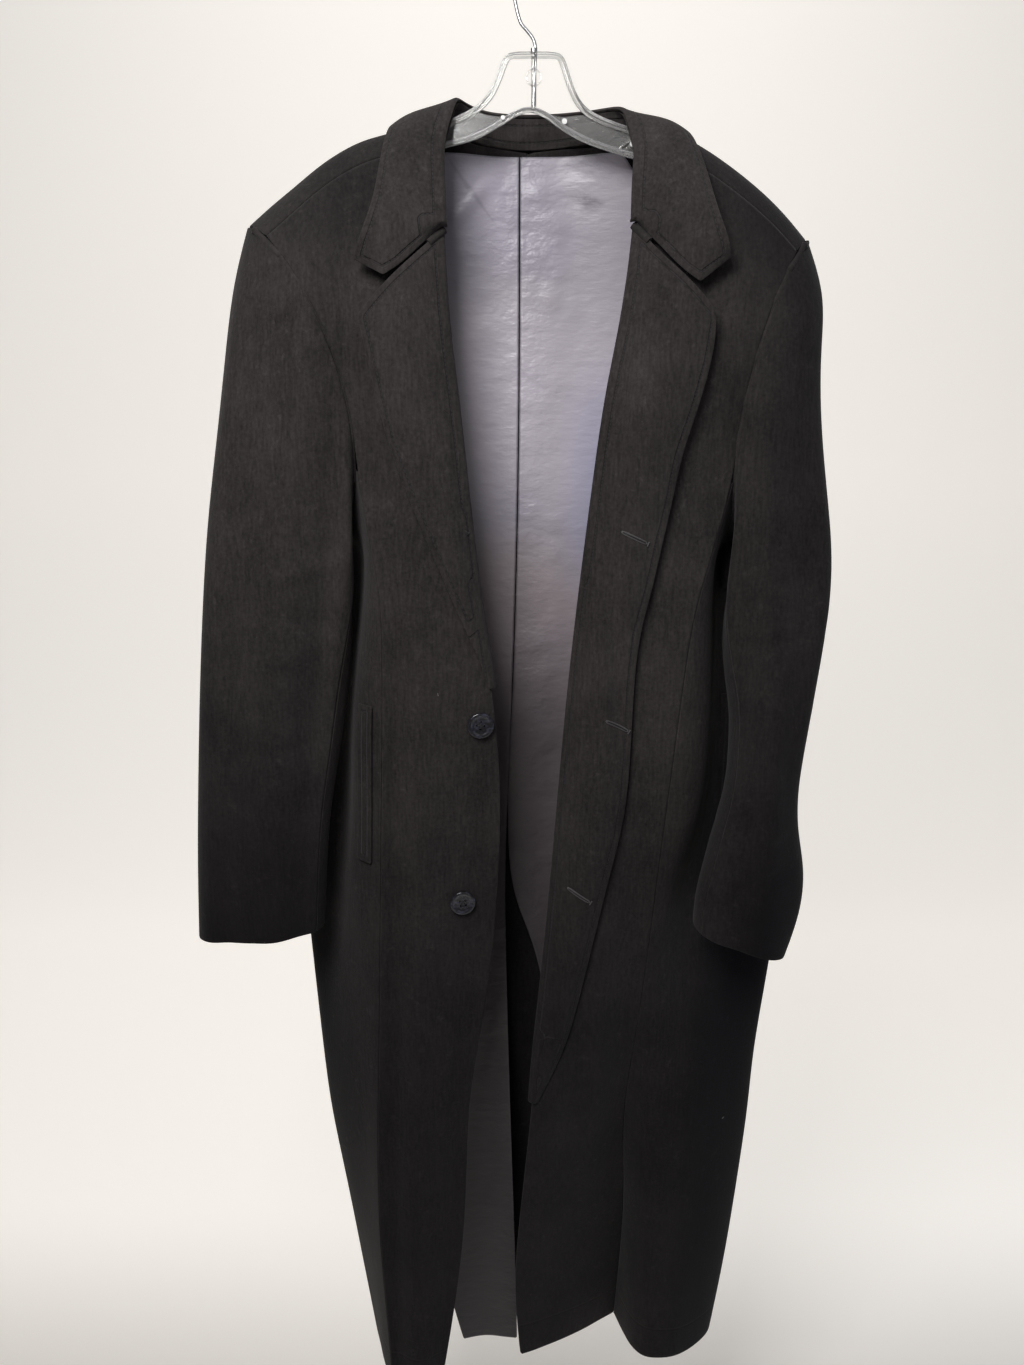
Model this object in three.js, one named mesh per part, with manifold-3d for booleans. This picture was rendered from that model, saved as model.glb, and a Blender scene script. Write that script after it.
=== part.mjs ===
// An overcoat hanging open on a clear moulded hanger with a bright wire hook.
// Millimetres, +Z up. The origin is the inside of the hook's bend, where a rail or peg holds it.
// The coat's front faces -Y. The wearer's right side is at -X and the wearer's left side at +X.
import * as THREE from "three";
import * as BufferGeometryUtils from "three/addons/utils/BufferGeometryUtils.js";
import Module from "manifold-3d";

const wasm = await Module();
wasm.setup();

// ---------------------------------------------------------------- driving sizes
const SEAM_GAP = 0.4;          // between two pieces that meet at a seam
const LAY_GAP = 0.5;           // between a piece and the cloth it lies on
const COAT_CLOTH = 2.4;        // coating with its interlining
const SLEEVE_CLOTH = 2.0;
const LINING_CLOTH = 1.0;
const HEM_Z = -1450;
const RIDGE_Y = -5;            // the top of the shoulder lies over the hanger
const SHOULDER_ROUND = 60;     // how far below its top the shoulder reaches its full depth
const BUTTON_DIAMETER = 25;
const BUTTON_THICK = 4.2;
const RAIL_RADIUS = 3;         // the hanger's round rails
const WIRE_RADIUS = 1.5;       // the hook
const HOOK_INNER_RADIUS = 20;
const BAR_Z = -77.5;           // the hanger's short top bar

const coating = new THREE.MeshStandardMaterial({ color: 0x2a2525, roughness: 0.9, metalness: 0 });
const satin = new THREE.MeshStandardMaterial({ color: 0x77717c, roughness: 0.4, metalness: 0 });
const horn = new THREE.MeshStandardMaterial({ color: 0x17141a, roughness: 0.3, metalness: 0 });
const clear = new THREE.MeshStandardMaterial({ color: 0xdfe6e6, roughness: 0.1, metalness: 0 });
const chrome = new THREE.MeshStandardMaterial({ color: 0xc8ccd0, roughness: 0.15, metalness: 1 });

// ---------------------------------------------------------------- the coat's shape tables
// "out" is the distance from the middle towards that side. Rows go down the coat.
// edge: the front edge, or the line where the front rolls open.    z, out, y
// seam: the seam between front and side panel.                      z, out, y
// side: how the side panel runs from that seam round to the side.   z, then out, y of 4 points
// back: the seam between side and back panel.                       z, out, y
// ridge: the top of the shoulder.                                   out, z
// neckOut: where the shoulder begins, beside the neck.
const right = {
  name: "right",
  sign: -1,
  neckOut: 88,
  ridge: [[88, -127], [105, -130], [120, -135], [147, -140], [186, -159], [214, -180], [242, -200],
    [262, -217]],
  edge: [
    [-140, 93, -34], [-158, 84, -38], [-201, 79, -45], [-251, 76, -55], [-300, 73, -61], [-367, 65, -65],
    [-454, 56, -68], [-544, 46, -68], [-630, 32, -66], [-700, 26, -64], [-793, 29, -62], [-847, 34, -60],
    [-959, 44, -58], [-1018, 56, -56], [-1080, 64, -55], [-1142, 67, -54], [-1240, 70, -53],
    [-1290, 78, -53], [-1357, 84, -53], [-1413, 93, -53], [-1452, 99, -53],
  ],
  seam: [
    [-428, 160.4, -50], [-480, 150, -63], [-544, 140, -71], [-738, 145, -71], [-953, 153, -68],
    [-1132, 161, -64], [-1262, 163, -60], [-1359, 158, -56], [-1452, 155, -54],
  ],
  side: [
    [-500, 155, -42, 159, -20, 166, 4, 184, 22],
    [-580, 153, -58, 163, -34, 178, 0, 212, 18],
    [-670, 160, -59, 174, -40, 188, 0, 234, 20],
    [-760, 162, -58, 177, -38, 192, -1, 243, 18],
    [-850, 166, -57, 184, -37, 204, -5, 242, 12],
    [-950, 172, -54, 194, -34, 216, -12, 235, 6],
    [-1050, 176, -48, 198, -28, 217, -10, 229, 7],
    [-1150, 178, -42, 197, -22, 213, -4, 222, 13],
    [-1250, 178, -36, 192, -14, 203, 4, 208, 20],
    [-1350, 171, -32, 182, -8, 191, 10, 198, 27],
    [-1452, 167, -28, 175, -2, 181, 16, 185, 34],
  ],
  back: [[-428, 196.6, 36], [-500, 195, 40], [-580, 203, 43], [-760, 205, 46], [-950, 195, 49],
    [-1150, 182, 53], [-1350, 160, 57], [-1452, 150, 59]],
  armhole: { top: [258, -214], bottom: [188, -485], frontPull: 54, backPull: 8 },
  // the sleeve's two sides, seen from the front.                    z, out
  sleeveOuter: [[-217, 260], [-240, 270], [-266, 275], [-309, 282], [-375, 290], [-456, 300], [-559, 310],
    [-682, 320.5], [-813, 331], [-892, 335.6]],
  sleeveInner: [[-485, 188], [-512, 178], [-545, 170], [-600, 170], [-660, 177], [-718, 186.6],
    [-759, 194], [-880, 205]],
  // the sleeve's middle and half depth, along it from 0 to 1.       share, y, half depth
  sleeveDepth: [[0, -4, 46], [0.15, -10, 44], [0.3, -20, 42], [0.45, -34, 38], [0.6, -42, 34], [0.8, -45, 32],
    [1, -44, 30]],
  // the turned-out edge of the lapel.                               z, out, lift off the front
  lapel: [[-297, 152, 9], [-323, 146, 9], [-401, 129, 8], [-453, 110.5, 7], [-497, 92, 5], [-561, 66, 3],
    [-599, 49, 1.5], [-628, 40.5, 0.5]],
  gorge: [[80, -226], [114, -258], [127, -270], [152, -297]],
};

const left = {
  name: "left",
  sign: 1,
  neckOut: 94,
  ridge: [[88, -127], [105, -130], [118, -134], [134.5, -140], [168, -159], [198, -180], [222, -200],
    [250, -230]],
  edge: [
    [-140, 100, -34], [-166, 92, -38], [-201, 87.5, -45], [-251, 82, -55], [-284, 78, -60], [-367, 62, -66],
    [-454, 51, -68], [-544, 41, -68], [-640, 32, -66], [-740, 24.5, -64], [-846, 17, -62], [-958, 7.5, -60],
    [-1019, 2, -55], [-1099, -3, -50], [-1170, -8, -40], [-1260, -11, -30], [-1337, -16, -20],
    [-1421, -19, -15], [-1452, -8, -15],
  ],
  seam: [
    [-438, 182.8, -48], [-500, 165, -62], [-560, 148, -70], [-700, 134, -70], [-850, 122, -66],
    [-964, 114, -54], [-1041, 108, -42], [-1137, 103, -20], [-1219, 109, -2], [-1305, 111, 20],
    [-1373, 109, 34], [-1452, 106, 44],
  ],
  side: [
    [-500, 171, -44, 174, -20, 179, 3, 188, 23],
    [-580, 160, -62, 170, -44, 182, -2, 216, 18],
    [-670, 156, -67, 174, -50, 188, -2, 242, 20],
    [-760, 150, -67, 170, -50, 186, -3, 262, 18],
    [-850, 137, -58, 150, -34, 180, -6, 271, 14],
    [-950, 136, -46, 160, -38, 210, -14, 262, 8],
    [-1050, 132, -44, 165, -42, 215, -16, 251, 7],
    [-1150, 126, -36, 165, -42, 215, -16, 248, 10],
    [-1250, 127, -28, 162, -38, 210, -14, 241, 13],
    [-1350, 123, -14, 152, -34, 200, -12, 233, 16],
    [-1452, 118, 6, 138, -30, 185, -12, 221, 20],
  ],
  back: [[-438, 203.7, 36], [-500, 201, 40], [-580, 209, 43], [-760, 222, 46], [-950, 220, 49],
    [-1150, 208, 53], [-1350, 195, 57], [-1452, 186, 59]],
  armhole: { top: [247, -226], bottom: [200, -495], frontPull: 34.5, backPull: 8 },
  sleeveOuter: [[-228, 249], [-243, 262], [-309, 265], [-375, 266], [-443, 273], [-513, 279], [-560, 276],
    [-615, 269], [-676, 261], [-726, 255], [-768, 256], [-791, 261], [-815, 268], [-862, 263], [-900, 250]],
  sleeveInner: [[-495, 200], [-520, 190], [-552, 182], [-600, 181], [-668, 190], [-694, 189.5], [-735, 187],
    [-770, 178], [-804, 168.5], [-846, 158], [-868, 157]],
  sleeveDepth: [[0, -4, 46], [0.15, -10, 44], [0.3, -20, 43], [0.45, -36, 42], [0.6, -46, 40], [0.8, -55, 37],
    [1, -66, 32]],
  lapel: [[-297, 159, 9], [-325, 156, 9], [-346, 151, 9], [-377, 143, 8], [-401, 134, 8], [-470, 121.5, 7],
    [-506, 112.5, 6], [-537, 107, 5], [-576, 97, 4], [-637, 93.6, 3.5], [-675, 93, 3.5], [-721, 91.6, 3.5],
    [-758, 88, 3], [-812, 76, 3], [-870, 64.6, 2.5], [-933, 52.8, 2], [-1010, 36, 1], [-1085, 8, 0]],
  gorge: [[88, -222], [108, -246], [123, -259], [141, -276], [159, -297]],
};

const SEAM_ROWS_Z = [-500, -540, -580, -670, -760, -850, -950, -1050, -1100, -1150, -1250, -1350, HEM_Z];
// the middle seam of the back.                                      z, x, y
const CENTRE_BACK = [[-146, -6, 33], [-250, -6, 40], [-400, -6, 44], [-600, -10, 46], [-850, -18, 50],
  [-1100, -17, 54], [-1452, -15, 60]];
// The middle seam ends in a vent: the left back panel laps under the right one.
const VENT_TOP_Z = -860;
const VENT_LAP = 34;
const VENT_DROP = 5;           // how far inside the right panel's outer face the lap lies

// ---------------------------------------------------------------- small tools
const lerp = THREE.MathUtils.lerp;
const clamp = THREE.MathUtils.clamp;
const smooth = (t) => THREE.MathUtils.smoothstep(t, 0, 1);
const v3 = (x, y, z) => new THREE.Vector3(x, y, z);

// Reads column `column` of a table whose first column is the key, on a smooth curve through its rows.
function read(table, key, column = 1) {
  const down = table[0][0] > table[table.length - 1][0];
  const rows = down ? table : [...table].reverse();
  if (key >= rows[0][0]) return rows[0][column];
  const last = rows.length - 1;
  if (key <= rows[last][0]) return rows[last][column];
  let i = 0;
  while (key < rows[i + 1][0]) i += 1;
  const slope = (a, b) => (rows[b][column] - rows[a][column]) / (rows[b][0] - rows[a][0]);
  const span = rows[i + 1][0] - rows[i][0];
  const t = (key - rows[i][0]) / span;
  const before = i > 0 ? (slope(i - 1, i) + slope(i, i + 1)) / 2 : slope(i, i + 1);
  const after = i + 1 < last ? (slope(i, i + 1) + slope(i + 1, i + 2)) / 2 : slope(i, i + 1);
  const a = rows[i][column];
  const b = rows[i + 1][column];
  return (2 * t ** 3 - 3 * t ** 2 + 1) * a + (t ** 3 - 2 * t ** 2 + t) * before * span
    + (3 * t ** 2 - 2 * t ** 3) * b + (t ** 3 - t ** 2) * after * span;
}

// Points at even steps along a polyline of 2D points.
function along(points, share) {
  const lengths = points.slice(1).map((p, i) => Math.hypot(p[0] - points[i][0], p[1] - points[i][1]));
  let rest = share * lengths.reduce((sum, one) => sum + one, 0);
  for (let i = 0; i < lengths.length; i += 1) {
    if (rest <= lengths[i] || i === lengths.length - 1) {
      const t = Math.min(rest / lengths[i], 1);
      return [lerp(points[i][0], points[i + 1][0], t), lerp(points[i][1], points[i + 1][1], t)];
    }
    rest -= lengths[i];
  }
  return points[0];
}

// Unit normals of a grid of points. Which way they face depends on the order of its columns.
function gridNormals(grid) {
  const rows = grid.length;
  const columns = grid[0].length;
  return grid.map((row, i) => row.map((_, j) => {
    const down = grid[Math.min(i + 1, rows - 1)][j].clone().sub(grid[Math.max(i - 1, 0)][j]);
    const across = grid[i][Math.min(j + 1, columns - 1)].clone().sub(grid[i][Math.max(j - 1, 0)]);
    return across.cross(down).normalize();
  }));
}

// Makes the normals of two panels agree where they share a seam.
function shareNormals(a, columnA, b, columnB, firstRowOfB = 0) {
  b.forEach((row, i) => {
    const one = a[i + firstRowOfB];
    const mean = one[columnA].clone().add(row[columnB]).normalize();
    one[columnA] = mean;
    row[columnB] = mean.clone();
  });
}

// Draws a grid's border in along the cloth, so that pieces stay apart at a seam.
function drawIn(grid, sides, distance = SEAM_GAP / 2) {
  const rows = grid.length - 1;
  const columns = grid[0].length - 1;
  const pull = (from, to) => from.clone().add(to.clone().sub(from).setLength(distance));
  const out = grid.map((row) => row.map((p) => p.clone()));
  for (let i = 0; i <= rows; i += 1) {
    if (sides.includes("start")) out[i][0] = pull(out[i][0], grid[i][1]);
    if (sides.includes("end")) out[i][columns] = pull(out[i][columns], grid[i][columns - 1]);
  }
  for (let j = 0; j <= columns; j += 1) {
    if (sides.includes("top")) out[0][j] = pull(out[0][j], out[1][j]);
    if (sides.includes("bottom")) out[rows][j] = pull(out[rows][j], out[rows - 1][j]);
  }
  return out;
}

// A closed wall of cloth: the grid is its outer face, and the wall lies behind it.
function wall(name, grid, thickness, material, normals = gridNormals(grid)) {
  const rows = grid.length;
  const columns = grid[0].length;
  const positions = [];
  grid.forEach((row) => row.forEach((p) => positions.push(p.x, p.y, p.z)));
  grid.forEach((row, i) => row.forEach((p, j) => {
    const q = p.clone().addScaledVector(normals[i][j], -thickness);
    positions.push(q.x, q.y, q.z);
  }));
  const at = (i, j, behind) => (behind ? rows * columns : 0) + i * columns + j;
  const index = [];
  const quad = (a, b, c, d) => index.push(a, b, c, a, c, d);
  for (let i = 0; i < rows - 1; i += 1) {
    for (let j = 0; j < columns - 1; j += 1) {
      quad(at(i, j), at(i, j + 1), at(i + 1, j + 1), at(i + 1, j));
      quad(at(i, j, 1), at(i + 1, j, 1), at(i + 1, j + 1, 1), at(i, j + 1, 1));
    }
  }
  const border = [];
  for (let j = 0; j < columns; j += 1) border.push([0, j]);
  for (let i = 1; i < rows; i += 1) border.push([i, columns - 1]);
  for (let j = columns - 2; j >= 0; j -= 1) border.push([rows - 1, j]);
  for (let i = rows - 2; i > 0; i -= 1) border.push([i, 0]);
  border.forEach(([i, j], k) => {
    const [m, n] = border[(k + 1) % border.length];
    quad(at(i, j), at(i, j, 1), at(m, n, 1), at(m, n));
  });
  return piece(name, positions, index, material);
}

// A mesh from positions and triangles, turned so that its faces point out.
function piece(name, positions, index, material) {
  const corner = (k) => v3(...positions.slice(3 * index[k], 3 * index[k] + 3));
  let volume = 0;
  for (let k = 0; k < index.length; k += 3) {
    volume += corner(k).dot(corner(k + 1).cross(corner(k + 2)));
  }
  const turned = volume > 0 ? index : [...index].reverse();
  const geometry = new THREE.BufferGeometry();
  geometry.setAttribute("position", new THREE.Float32BufferAttribute(positions, 3));
  geometry.setIndex(turned);
  geometry.computeVertexNormals();
  const mesh = new THREE.Mesh(geometry, material);
  mesh.name = name;
  return mesh;
}

function toSolid(geometry) {
  const bare = geometry.clone();
  bare.deleteAttribute("normal");
  bare.deleteAttribute("uv");
  const merged = BufferGeometryUtils.mergeVertices(bare, 1e-4);
  const solidMesh = new wasm.Mesh({
    numProp: 3,
    vertProperties: new Float32Array(merged.attributes.position.array),
    triVerts: new Uint32Array(merged.index.array),
  });
  return new wasm.Manifold(solidMesh);
}

function fromSolid(name, solid, material) {
  const { vertProperties, triVerts } = solid.getMesh();
  return piece(name, [...vertProperties], [...triVerts], material);
}

// ---------------------------------------------------------------- the body's surface
const ridgeZ = (side, out) => read(side.ridge.map(([o, z]) => [o, z]), Math.max(out, 88));

// How far the shoulder has rounded from its ridge to the full depth, `below` mm under the ridge.
const roundness = (below) => Math.sqrt(1 - Math.exp(-Math.max(below, 0) / SHOULDER_ROUND));

// A point of the armhole seam. Angle 0 is the shoulder's tip, 90 the front, 180 under the arm.
function armhole(side, degrees) {
  const angle = THREE.MathUtils.degToRad(degrees);
  const { top, bottom, frontPull, backPull } = side.armhole;
  const pull = (Math.sin(angle) > 0 ? frontPull : backPull) * Math.abs(Math.sin(angle)) ** 1.2;
  const out = (top[0] + bottom[0]) / 2 + (top[0] - bottom[0]) / 2 * Math.cos(angle) - pull;
  const z = (top[1] + bottom[1]) / 2 + (top[1] - bottom[1]) / 2 * Math.cos(angle);
  return { out, z };
}

const ARMHOLE_SEAM = 125;   // the angle at which the side panel's seams meet the armhole

// The line that a panel reaches on its outer side at a height.
function outerLine(side, z, front) {
  const { top, bottom } = side.armhole;
  const table = front ? side.seam : side.back;
  if (z <= table[0][0]) return { out: read(table, z), y: read(table, z, 2) };
  const share = clamp((z - (top[1] + bottom[1]) / 2) / ((top[1] - bottom[1]) / 2), -1, 1);
  const degrees = THREE.MathUtils.radToDeg(Math.acos(share)) * (front ? 1 : -1);
  const deep = front ? -57 : 43;
  const y = lerp(table[0][2], deep, smooth((z - table[0][0]) / 90));
  return { out: armhole(side, degrees).out, y };
}

// The depth of the front's outer face at a place.
function frontDepth(side, out, z) {
  const edge = { out: read(side.edge, z), y: read(side.edge, z, 2) };
  const outer = outerLine(side, z, true);
  const share = clamp((out - edge.out) / (outer.out - edge.out), 0, 1);
  const crown = 5 * Math.sin(Math.PI * share) * smooth((-z - 200) / 150);
  const flat = lerp(edge.y, outer.y, share) - crown;
  return lerp(RIDGE_Y, flat, z > -470 ? roundness(ridgeZ(side, out) - z) : 1);
}

// Hanging folds of the back, deeper towards the hem.
function backFold(side, out, z) {
  const grow = smooth((-z - 500) / 700);
  const phase = side.sign < 0 ? 0.4 : 1.3;
  return grow * 7 * Math.sin(out / 27 + phase) * smooth(out / 60);
}

function backDepth(side, out, z) {
  const centre = read(CENTRE_BACK, z, 2);
  const outer = outerLine(side, z, false);
  const share = clamp(out / outer.out, 0, 1);
  const flat = lerp(centre, outer.y, share ** 2) + backFold(side, out, z) * Math.sin(Math.PI * share);
  const rounded = z > -470 ? roundness(ridgeZ(side, out) - z) : 1;
  return lerp(RIDGE_Y, flat, lerp(1, rounded, smooth((out - 20) / 60)));
}

function armholePoint(side, degrees) {
  const turned = degrees > 180 ? degrees - 360 : degrees;
  const { out, z } = armhole(side, turned);
  let y;
  if (Math.abs(turned) <= ARMHOLE_SEAM) {
    y = turned > 0 ? frontDepth(side, out, z) : backDepth(side, out, z);
  } else {
    const share = (((degrees + 360) % 360) - ARMHOLE_SEAM) / (360 - 2 * ARMHOLE_SEAM);
    y = lerp(read(side.seam, side.seam[0][0], 2), read(side.back, side.back[0][0], 2), share);
  }
  return { out, y, z };
}

// A row of points across a panel between two ends, following the shoulder's slope by `slope`.
function rowBetween(side, from, to, count, slope, depth) {
  const belowFrom = ridgeZ(side, from.out) - from.z;
  const belowTo = ridgeZ(side, to.out) - to.z;
  const row = [];
  for (let k = 0; k <= count; k += 1) {
    const t = k / count;
    const out = lerp(from.out, to.out, t);
    const straight = lerp(from.z, to.z, t);
    const sloped = ridgeZ(side, out) - lerp(belowFrom, belowTo, t);
    const z = lerp(straight, sloped, slope);
    row.push(v3(side.sign * out, depth(out, z), z));
  }
  return row;
}

// Front panel: rows from the shoulder seam to the hem. Its edge is `tuck` mm behind the rolled edge.
const FRONT_COLUMNS = 8;
// the front's slanted upper rows: height at the edge, armhole angle at the other end, slope
const FRONT_TOP_ROWS = [[-170, 38, 0.9], [-201, 50, 0.7], [-240, 64, 0.5], [-285, 80, 0.3],
  [-340, 96, 0.1], [-390, 111, 0], [-428, ARMHOLE_SEAM, 0]];
const EDGE_TUCK = 4.6;

// The shoulder seam lies on the front slope of the shoulder, and both panels start there.
const SEAM_BELOW = 22;
const SEAM_DEGREES = 27;

function shoulderSeam(side) {
  const from = { out: side.neckOut, z: ridgeZ(side, side.neckOut) - SEAM_BELOW };
  return rowBetween(side, from, armhole(side, SEAM_DEGREES), FRONT_COLUMNS, 1,
    (out, z) => frontDepth(side, out, z));
}

function frontGrid(side) {
  const depth = (out, z) => frontDepth(side, out, z);
  const turnEnd = side.lapel[side.lapel.length - 1][0];
  const edgeOut = (z) => read(side.edge, z) + EDGE_TUCK * smooth((z - turnEnd + 160) / 60);
  const top = FRONT_TOP_ROWS.map(([z, degrees, slope]) => rowBetween(
    side, { out: edgeOut(z), z }, armhole(side, degrees), FRONT_COLUMNS, slope, depth));
  const low = SEAM_ROWS_Z.map((z) => rowBetween(
    side, { out: edgeOut(z), z }, { out: read(side.seam, z), z }, FRONT_COLUMNS, 0, depth));
  return [shoulderSeam(side), ...top, ...low];
}

// Back panel: the first rows wrap over the shoulder from the seam on its front.
const BACK_COLUMNS = FRONT_COLUMNS;
const NECK_ROWS = [
  { inside: 0, below: 6, degrees: 13, front: true },
  { inside: 2, below: 0, degrees: 0, front: false },
  { inside: 8, below: 8, degrees: -14, front: false },
  { inside: 28, below: 13, degrees: -27, front: false },
  { inside: 52, below: 17, degrees: -37, front: false },
];
const BACK_TOP_ROWS = [[-146, -48, 0.8], [-200, -66, 0.5], [-270, -85, 0.3], [-345, -105, 0.1],
  [-428, -ARMHOLE_SEAM, 0]];

function ventDrop(side, out, z) {
  if (side === right) return 0;
  const beyondSeam = out + read(CENTRE_BACK, z) * -side.sign;
  return VENT_DROP * smooth((VENT_TOP_Z + 80 - z) / 60) * smooth((46 - beyondSeam) / 36);
}

function backGrid(side) {
  const behind = (out, z) => backDepth(side, out, z);
  const ahead = (out, z) => frontDepth(side, out, z);
  const lap = (z) => (side === left && z < VENT_TOP_Z ? VENT_LAP : 0);
  const centreOut = (z) => side.sign * read(CENTRE_BACK, z) - lap(z);
  const neck = NECK_ROWS.map(({ inside, below, degrees, front }) => {
    const out = side.neckOut - inside;
    return rowBetween(side, { out, z: ridgeZ(side, out) - below }, armhole(side, degrees), BACK_COLUMNS,
      1, front ? ahead : behind);
  });
  const top = BACK_TOP_ROWS.map(([z, degrees, slope]) => rowBetween(
    side, { out: centreOut(z), z }, armhole(side, degrees), BACK_COLUMNS, slope, behind));
  const low = SEAM_ROWS_Z.map((z) => rowBetween(
    side, { out: centreOut(z), z }, { out: read(side.back, z), z }, BACK_COLUMNS, 0,
    (out, height) => behind(out, height) - ventDrop(side, out, height)));
  return [shoulderSeam(side), ...neck, ...top, ...low];
}

// Side panel: columns run from the front seam round the side to the back seam.
const SIDE_COLUMNS = 12;

function sideSection(side, z) {
  const control = [[read(side.seam, z), read(side.seam, z, 2)]];
  for (let column = 1; column < 9; column += 2) {
    control.push([read(side.side, z, column), read(side.side, z, column + 1)]);
  }
  const [sideOut, sideY] = control[4];
  const last = [read(side.back, z), read(side.back, z, 2)];
  control.push([Math.max(sideOut - 7, lerp(sideOut, last[0], 0.5)), lerp(sideY, last[1], 0.65)]);
  control.push(last);
  return new THREE.CatmullRomCurve3(
    control.map(([out, y]) => v3(side.sign * out, y, z)), false, "catmullrom", 0.5);
}

function sideGrid(side) {
  const underarm = [];
  for (let j = 0; j <= SIDE_COLUMNS; j += 1) {
    const degrees = lerp(ARMHOLE_SEAM, 360 - ARMHOLE_SEAM, j / SIDE_COLUMNS);
    const { out, y, z } = armholePoint(side, degrees);
    underarm.push(v3(side.sign * out, y, z));
  }
  const rows = SEAM_ROWS_Z.map((z) => {
    const curve = sideSection(side, z);
    return Array.from({ length: SIDE_COLUMNS + 1 }, (_, j) => curve.getPoint(j / SIDE_COLUMNS));
  });
  return [underarm, ...rows];
}

// Both sides' grids are mirrored in X, so the normals of the left side are turned round.
const outwardNormals = (side, grid, turn = 1) => gridNormals(grid).map(
  (row) => row.map((n) => n.multiplyScalar(side.sign * turn)));

function bodyPanels(side) {
  const front = frontGrid(side);
  const flank = sideGrid(side);
  const back = backGrid(side);
  const frontNormals = outwardNormals(side, front, -1);
  const flankNormals = outwardNormals(side, flank, -1);
  const backNormals = outwardNormals(side, back, 1);
  const lowRows = FRONT_TOP_ROWS.length;
  const backLowRows = NECK_ROWS.length + BACK_TOP_ROWS.length;
  shareNormals(frontNormals, FRONT_COLUMNS, flankNormals, 0, lowRows);
  shareNormals(backNormals, BACK_COLUMNS, flankNormals, SIDE_COLUMNS, backLowRows);
  frontNormals[0].forEach((n, j) => {
    const mean = n.clone().add(backNormals[0][j]).normalize();
    frontNormals[0][j] = mean;
    backNormals[0][j] = mean.clone();
  });
  return [
    wall(`front_${side.name}`, drawIn(front, ["end", "top"]), COAT_CLOTH, coating, frontNormals),
    wall(`side_${side.name}`, drawIn(flank, ["start", "end"], SEAM_GAP), COAT_CLOTH, coating, flankNormals),
    wall(`back_${side.name}`, drawIn(back, ["start", "end", "top"]), COAT_CLOTH, coating, backNormals),
  ];
}

// ---------------------------------------------------------------- sleeves
const SLEEVE_ROWS = 15;
const SLEEVE_FRONT_SEAM = 150;
const SLEEVE_BACK_SEAM = -95;
const TOP_SLEEVE_COLUMNS = 13;
const UNDER_SLEEVE_COLUMNS = 5;
const BODY_CLEAR = 5;          // between a sleeve and the body that it hangs against
const SLEEVE_SEAM = 1;         // between the sleeve's head and the armhole
const SLEEVE_AWAY = 11;        // how far the under sleeve leaves the body just below the armhole
const CAP_SHARE = 0.42;        // the part of the sleeve over which the armhole's shape fades out

function sleeveEllipse(side, share, degrees) {
  const angle = THREE.MathUtils.degToRad(degrees);
  const outerEnd = side.sleeveOuter;
  const innerEnd = side.sleeveInner;
  const outerZ = lerp(outerEnd[0][0], outerEnd[outerEnd.length - 1][0], share);
  const innerZ = lerp(innerEnd[0][0], innerEnd[innerEnd.length - 1][0], share);
  const outer = read(outerEnd, outerZ);
  const inner = read(innerEnd, innerZ);
  const middleY = read(side.sleeveDepth, share);
  const halfDepth = read(side.sleeveDepth, share, 2);
  const round = (value) => Math.sign(value) * Math.abs(value) ** 0.85;
  return v3(
    side.sign * ((outer + inner) / 2 + (outer - inner) / 2 * round(Math.cos(angle))),
    middleY - halfDepth * round(Math.sin(angle)),
    (outerZ + innerZ) / 2 + (outerZ - innerZ) / 2 * Math.cos(angle),
  );
}

// The depth of the body's outer face where a sleeve could touch it, or nothing where it can't.
function bodyFace(side, out, z) {
  const seam = outerLine(side, z, true);
  if (out <= seam.out) return frontDepth(side, out, z);
  if (z > side.seam[0][0]) return Infinity;
  let before = null;
  for (let j = 0; j <= SIDE_COLUMNS; j += 1) {
    const next = sidePoint(side, j, z);
    if (before && next && out >= before.out && out <= next.out) {
      return lerp(before.y, next.y, (out - before.out) / Math.max(next.out - before.out, 0.1));
    }
    before = next;
  }
  return Infinity;
}

// A point of column `j` of the side panel at a height, or nothing where the armhole is open.
function sidePoint(side, j, z) {
  const point = (p) => ({ out: side.sign * p.x, y: p.y, z: p.z });
  if (z <= SEAM_ROWS_Z[0]) return point(sideSection(side, z).getPoint(j / SIDE_COLUMNS));
  const above = armholePoint(side, lerp(ARMHOLE_SEAM, 360 - ARMHOLE_SEAM, j / SIDE_COLUMNS));
  const below = point(sideSection(side, SEAM_ROWS_Z[0]).getPoint(j / SIDE_COLUMNS));
  if (z > above.z) return null;
  const t = (above.z - z) / (above.z - below.z);
  return { out: lerp(above.out, below.out, t), y: lerp(above.y, below.y, t), z };
}

function sleevePoint(side, share, degrees) {
  const loop = armholePoint(side, degrees);
  const fade = 1 - smooth(share / CAP_SHARE);
  const offset = v3(side.sign * loop.out, loop.y, loop.z).sub(sleeveEllipse(side, 0, degrees));
  const under = (1 - Math.cos(THREE.MathUtils.degToRad(degrees))) / 2;
  const steep = Math.abs(Math.cos(THREE.MathUtils.degToRad(degrees))) ** 3;
  const seam = SLEEVE_SEAM + 2 * steep;
  const away = SLEEVE_AWAY * under * smooth(share / 0.07) * fade;
  const behind = smooth(((degrees + 360) % 360 - 175) / 50);
  const outwards = side.sign * (seam + lerp(0.5, 1, behind) * away);
  const forwards = 0.5 * under * seam + lerp(0.9, 0.5, behind) * away;
  const point = sleeveEllipse(side, share, degrees).addScaledVector(offset, fade)
    .add(v3(outwards, -forwards, 0));
  if (share > 0) {
    const face = bodyFace(side, side.sign * point.x, point.z);
    point.y = Math.min(point.y, face - BODY_CLEAR);
  }
  return point;
}

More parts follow.
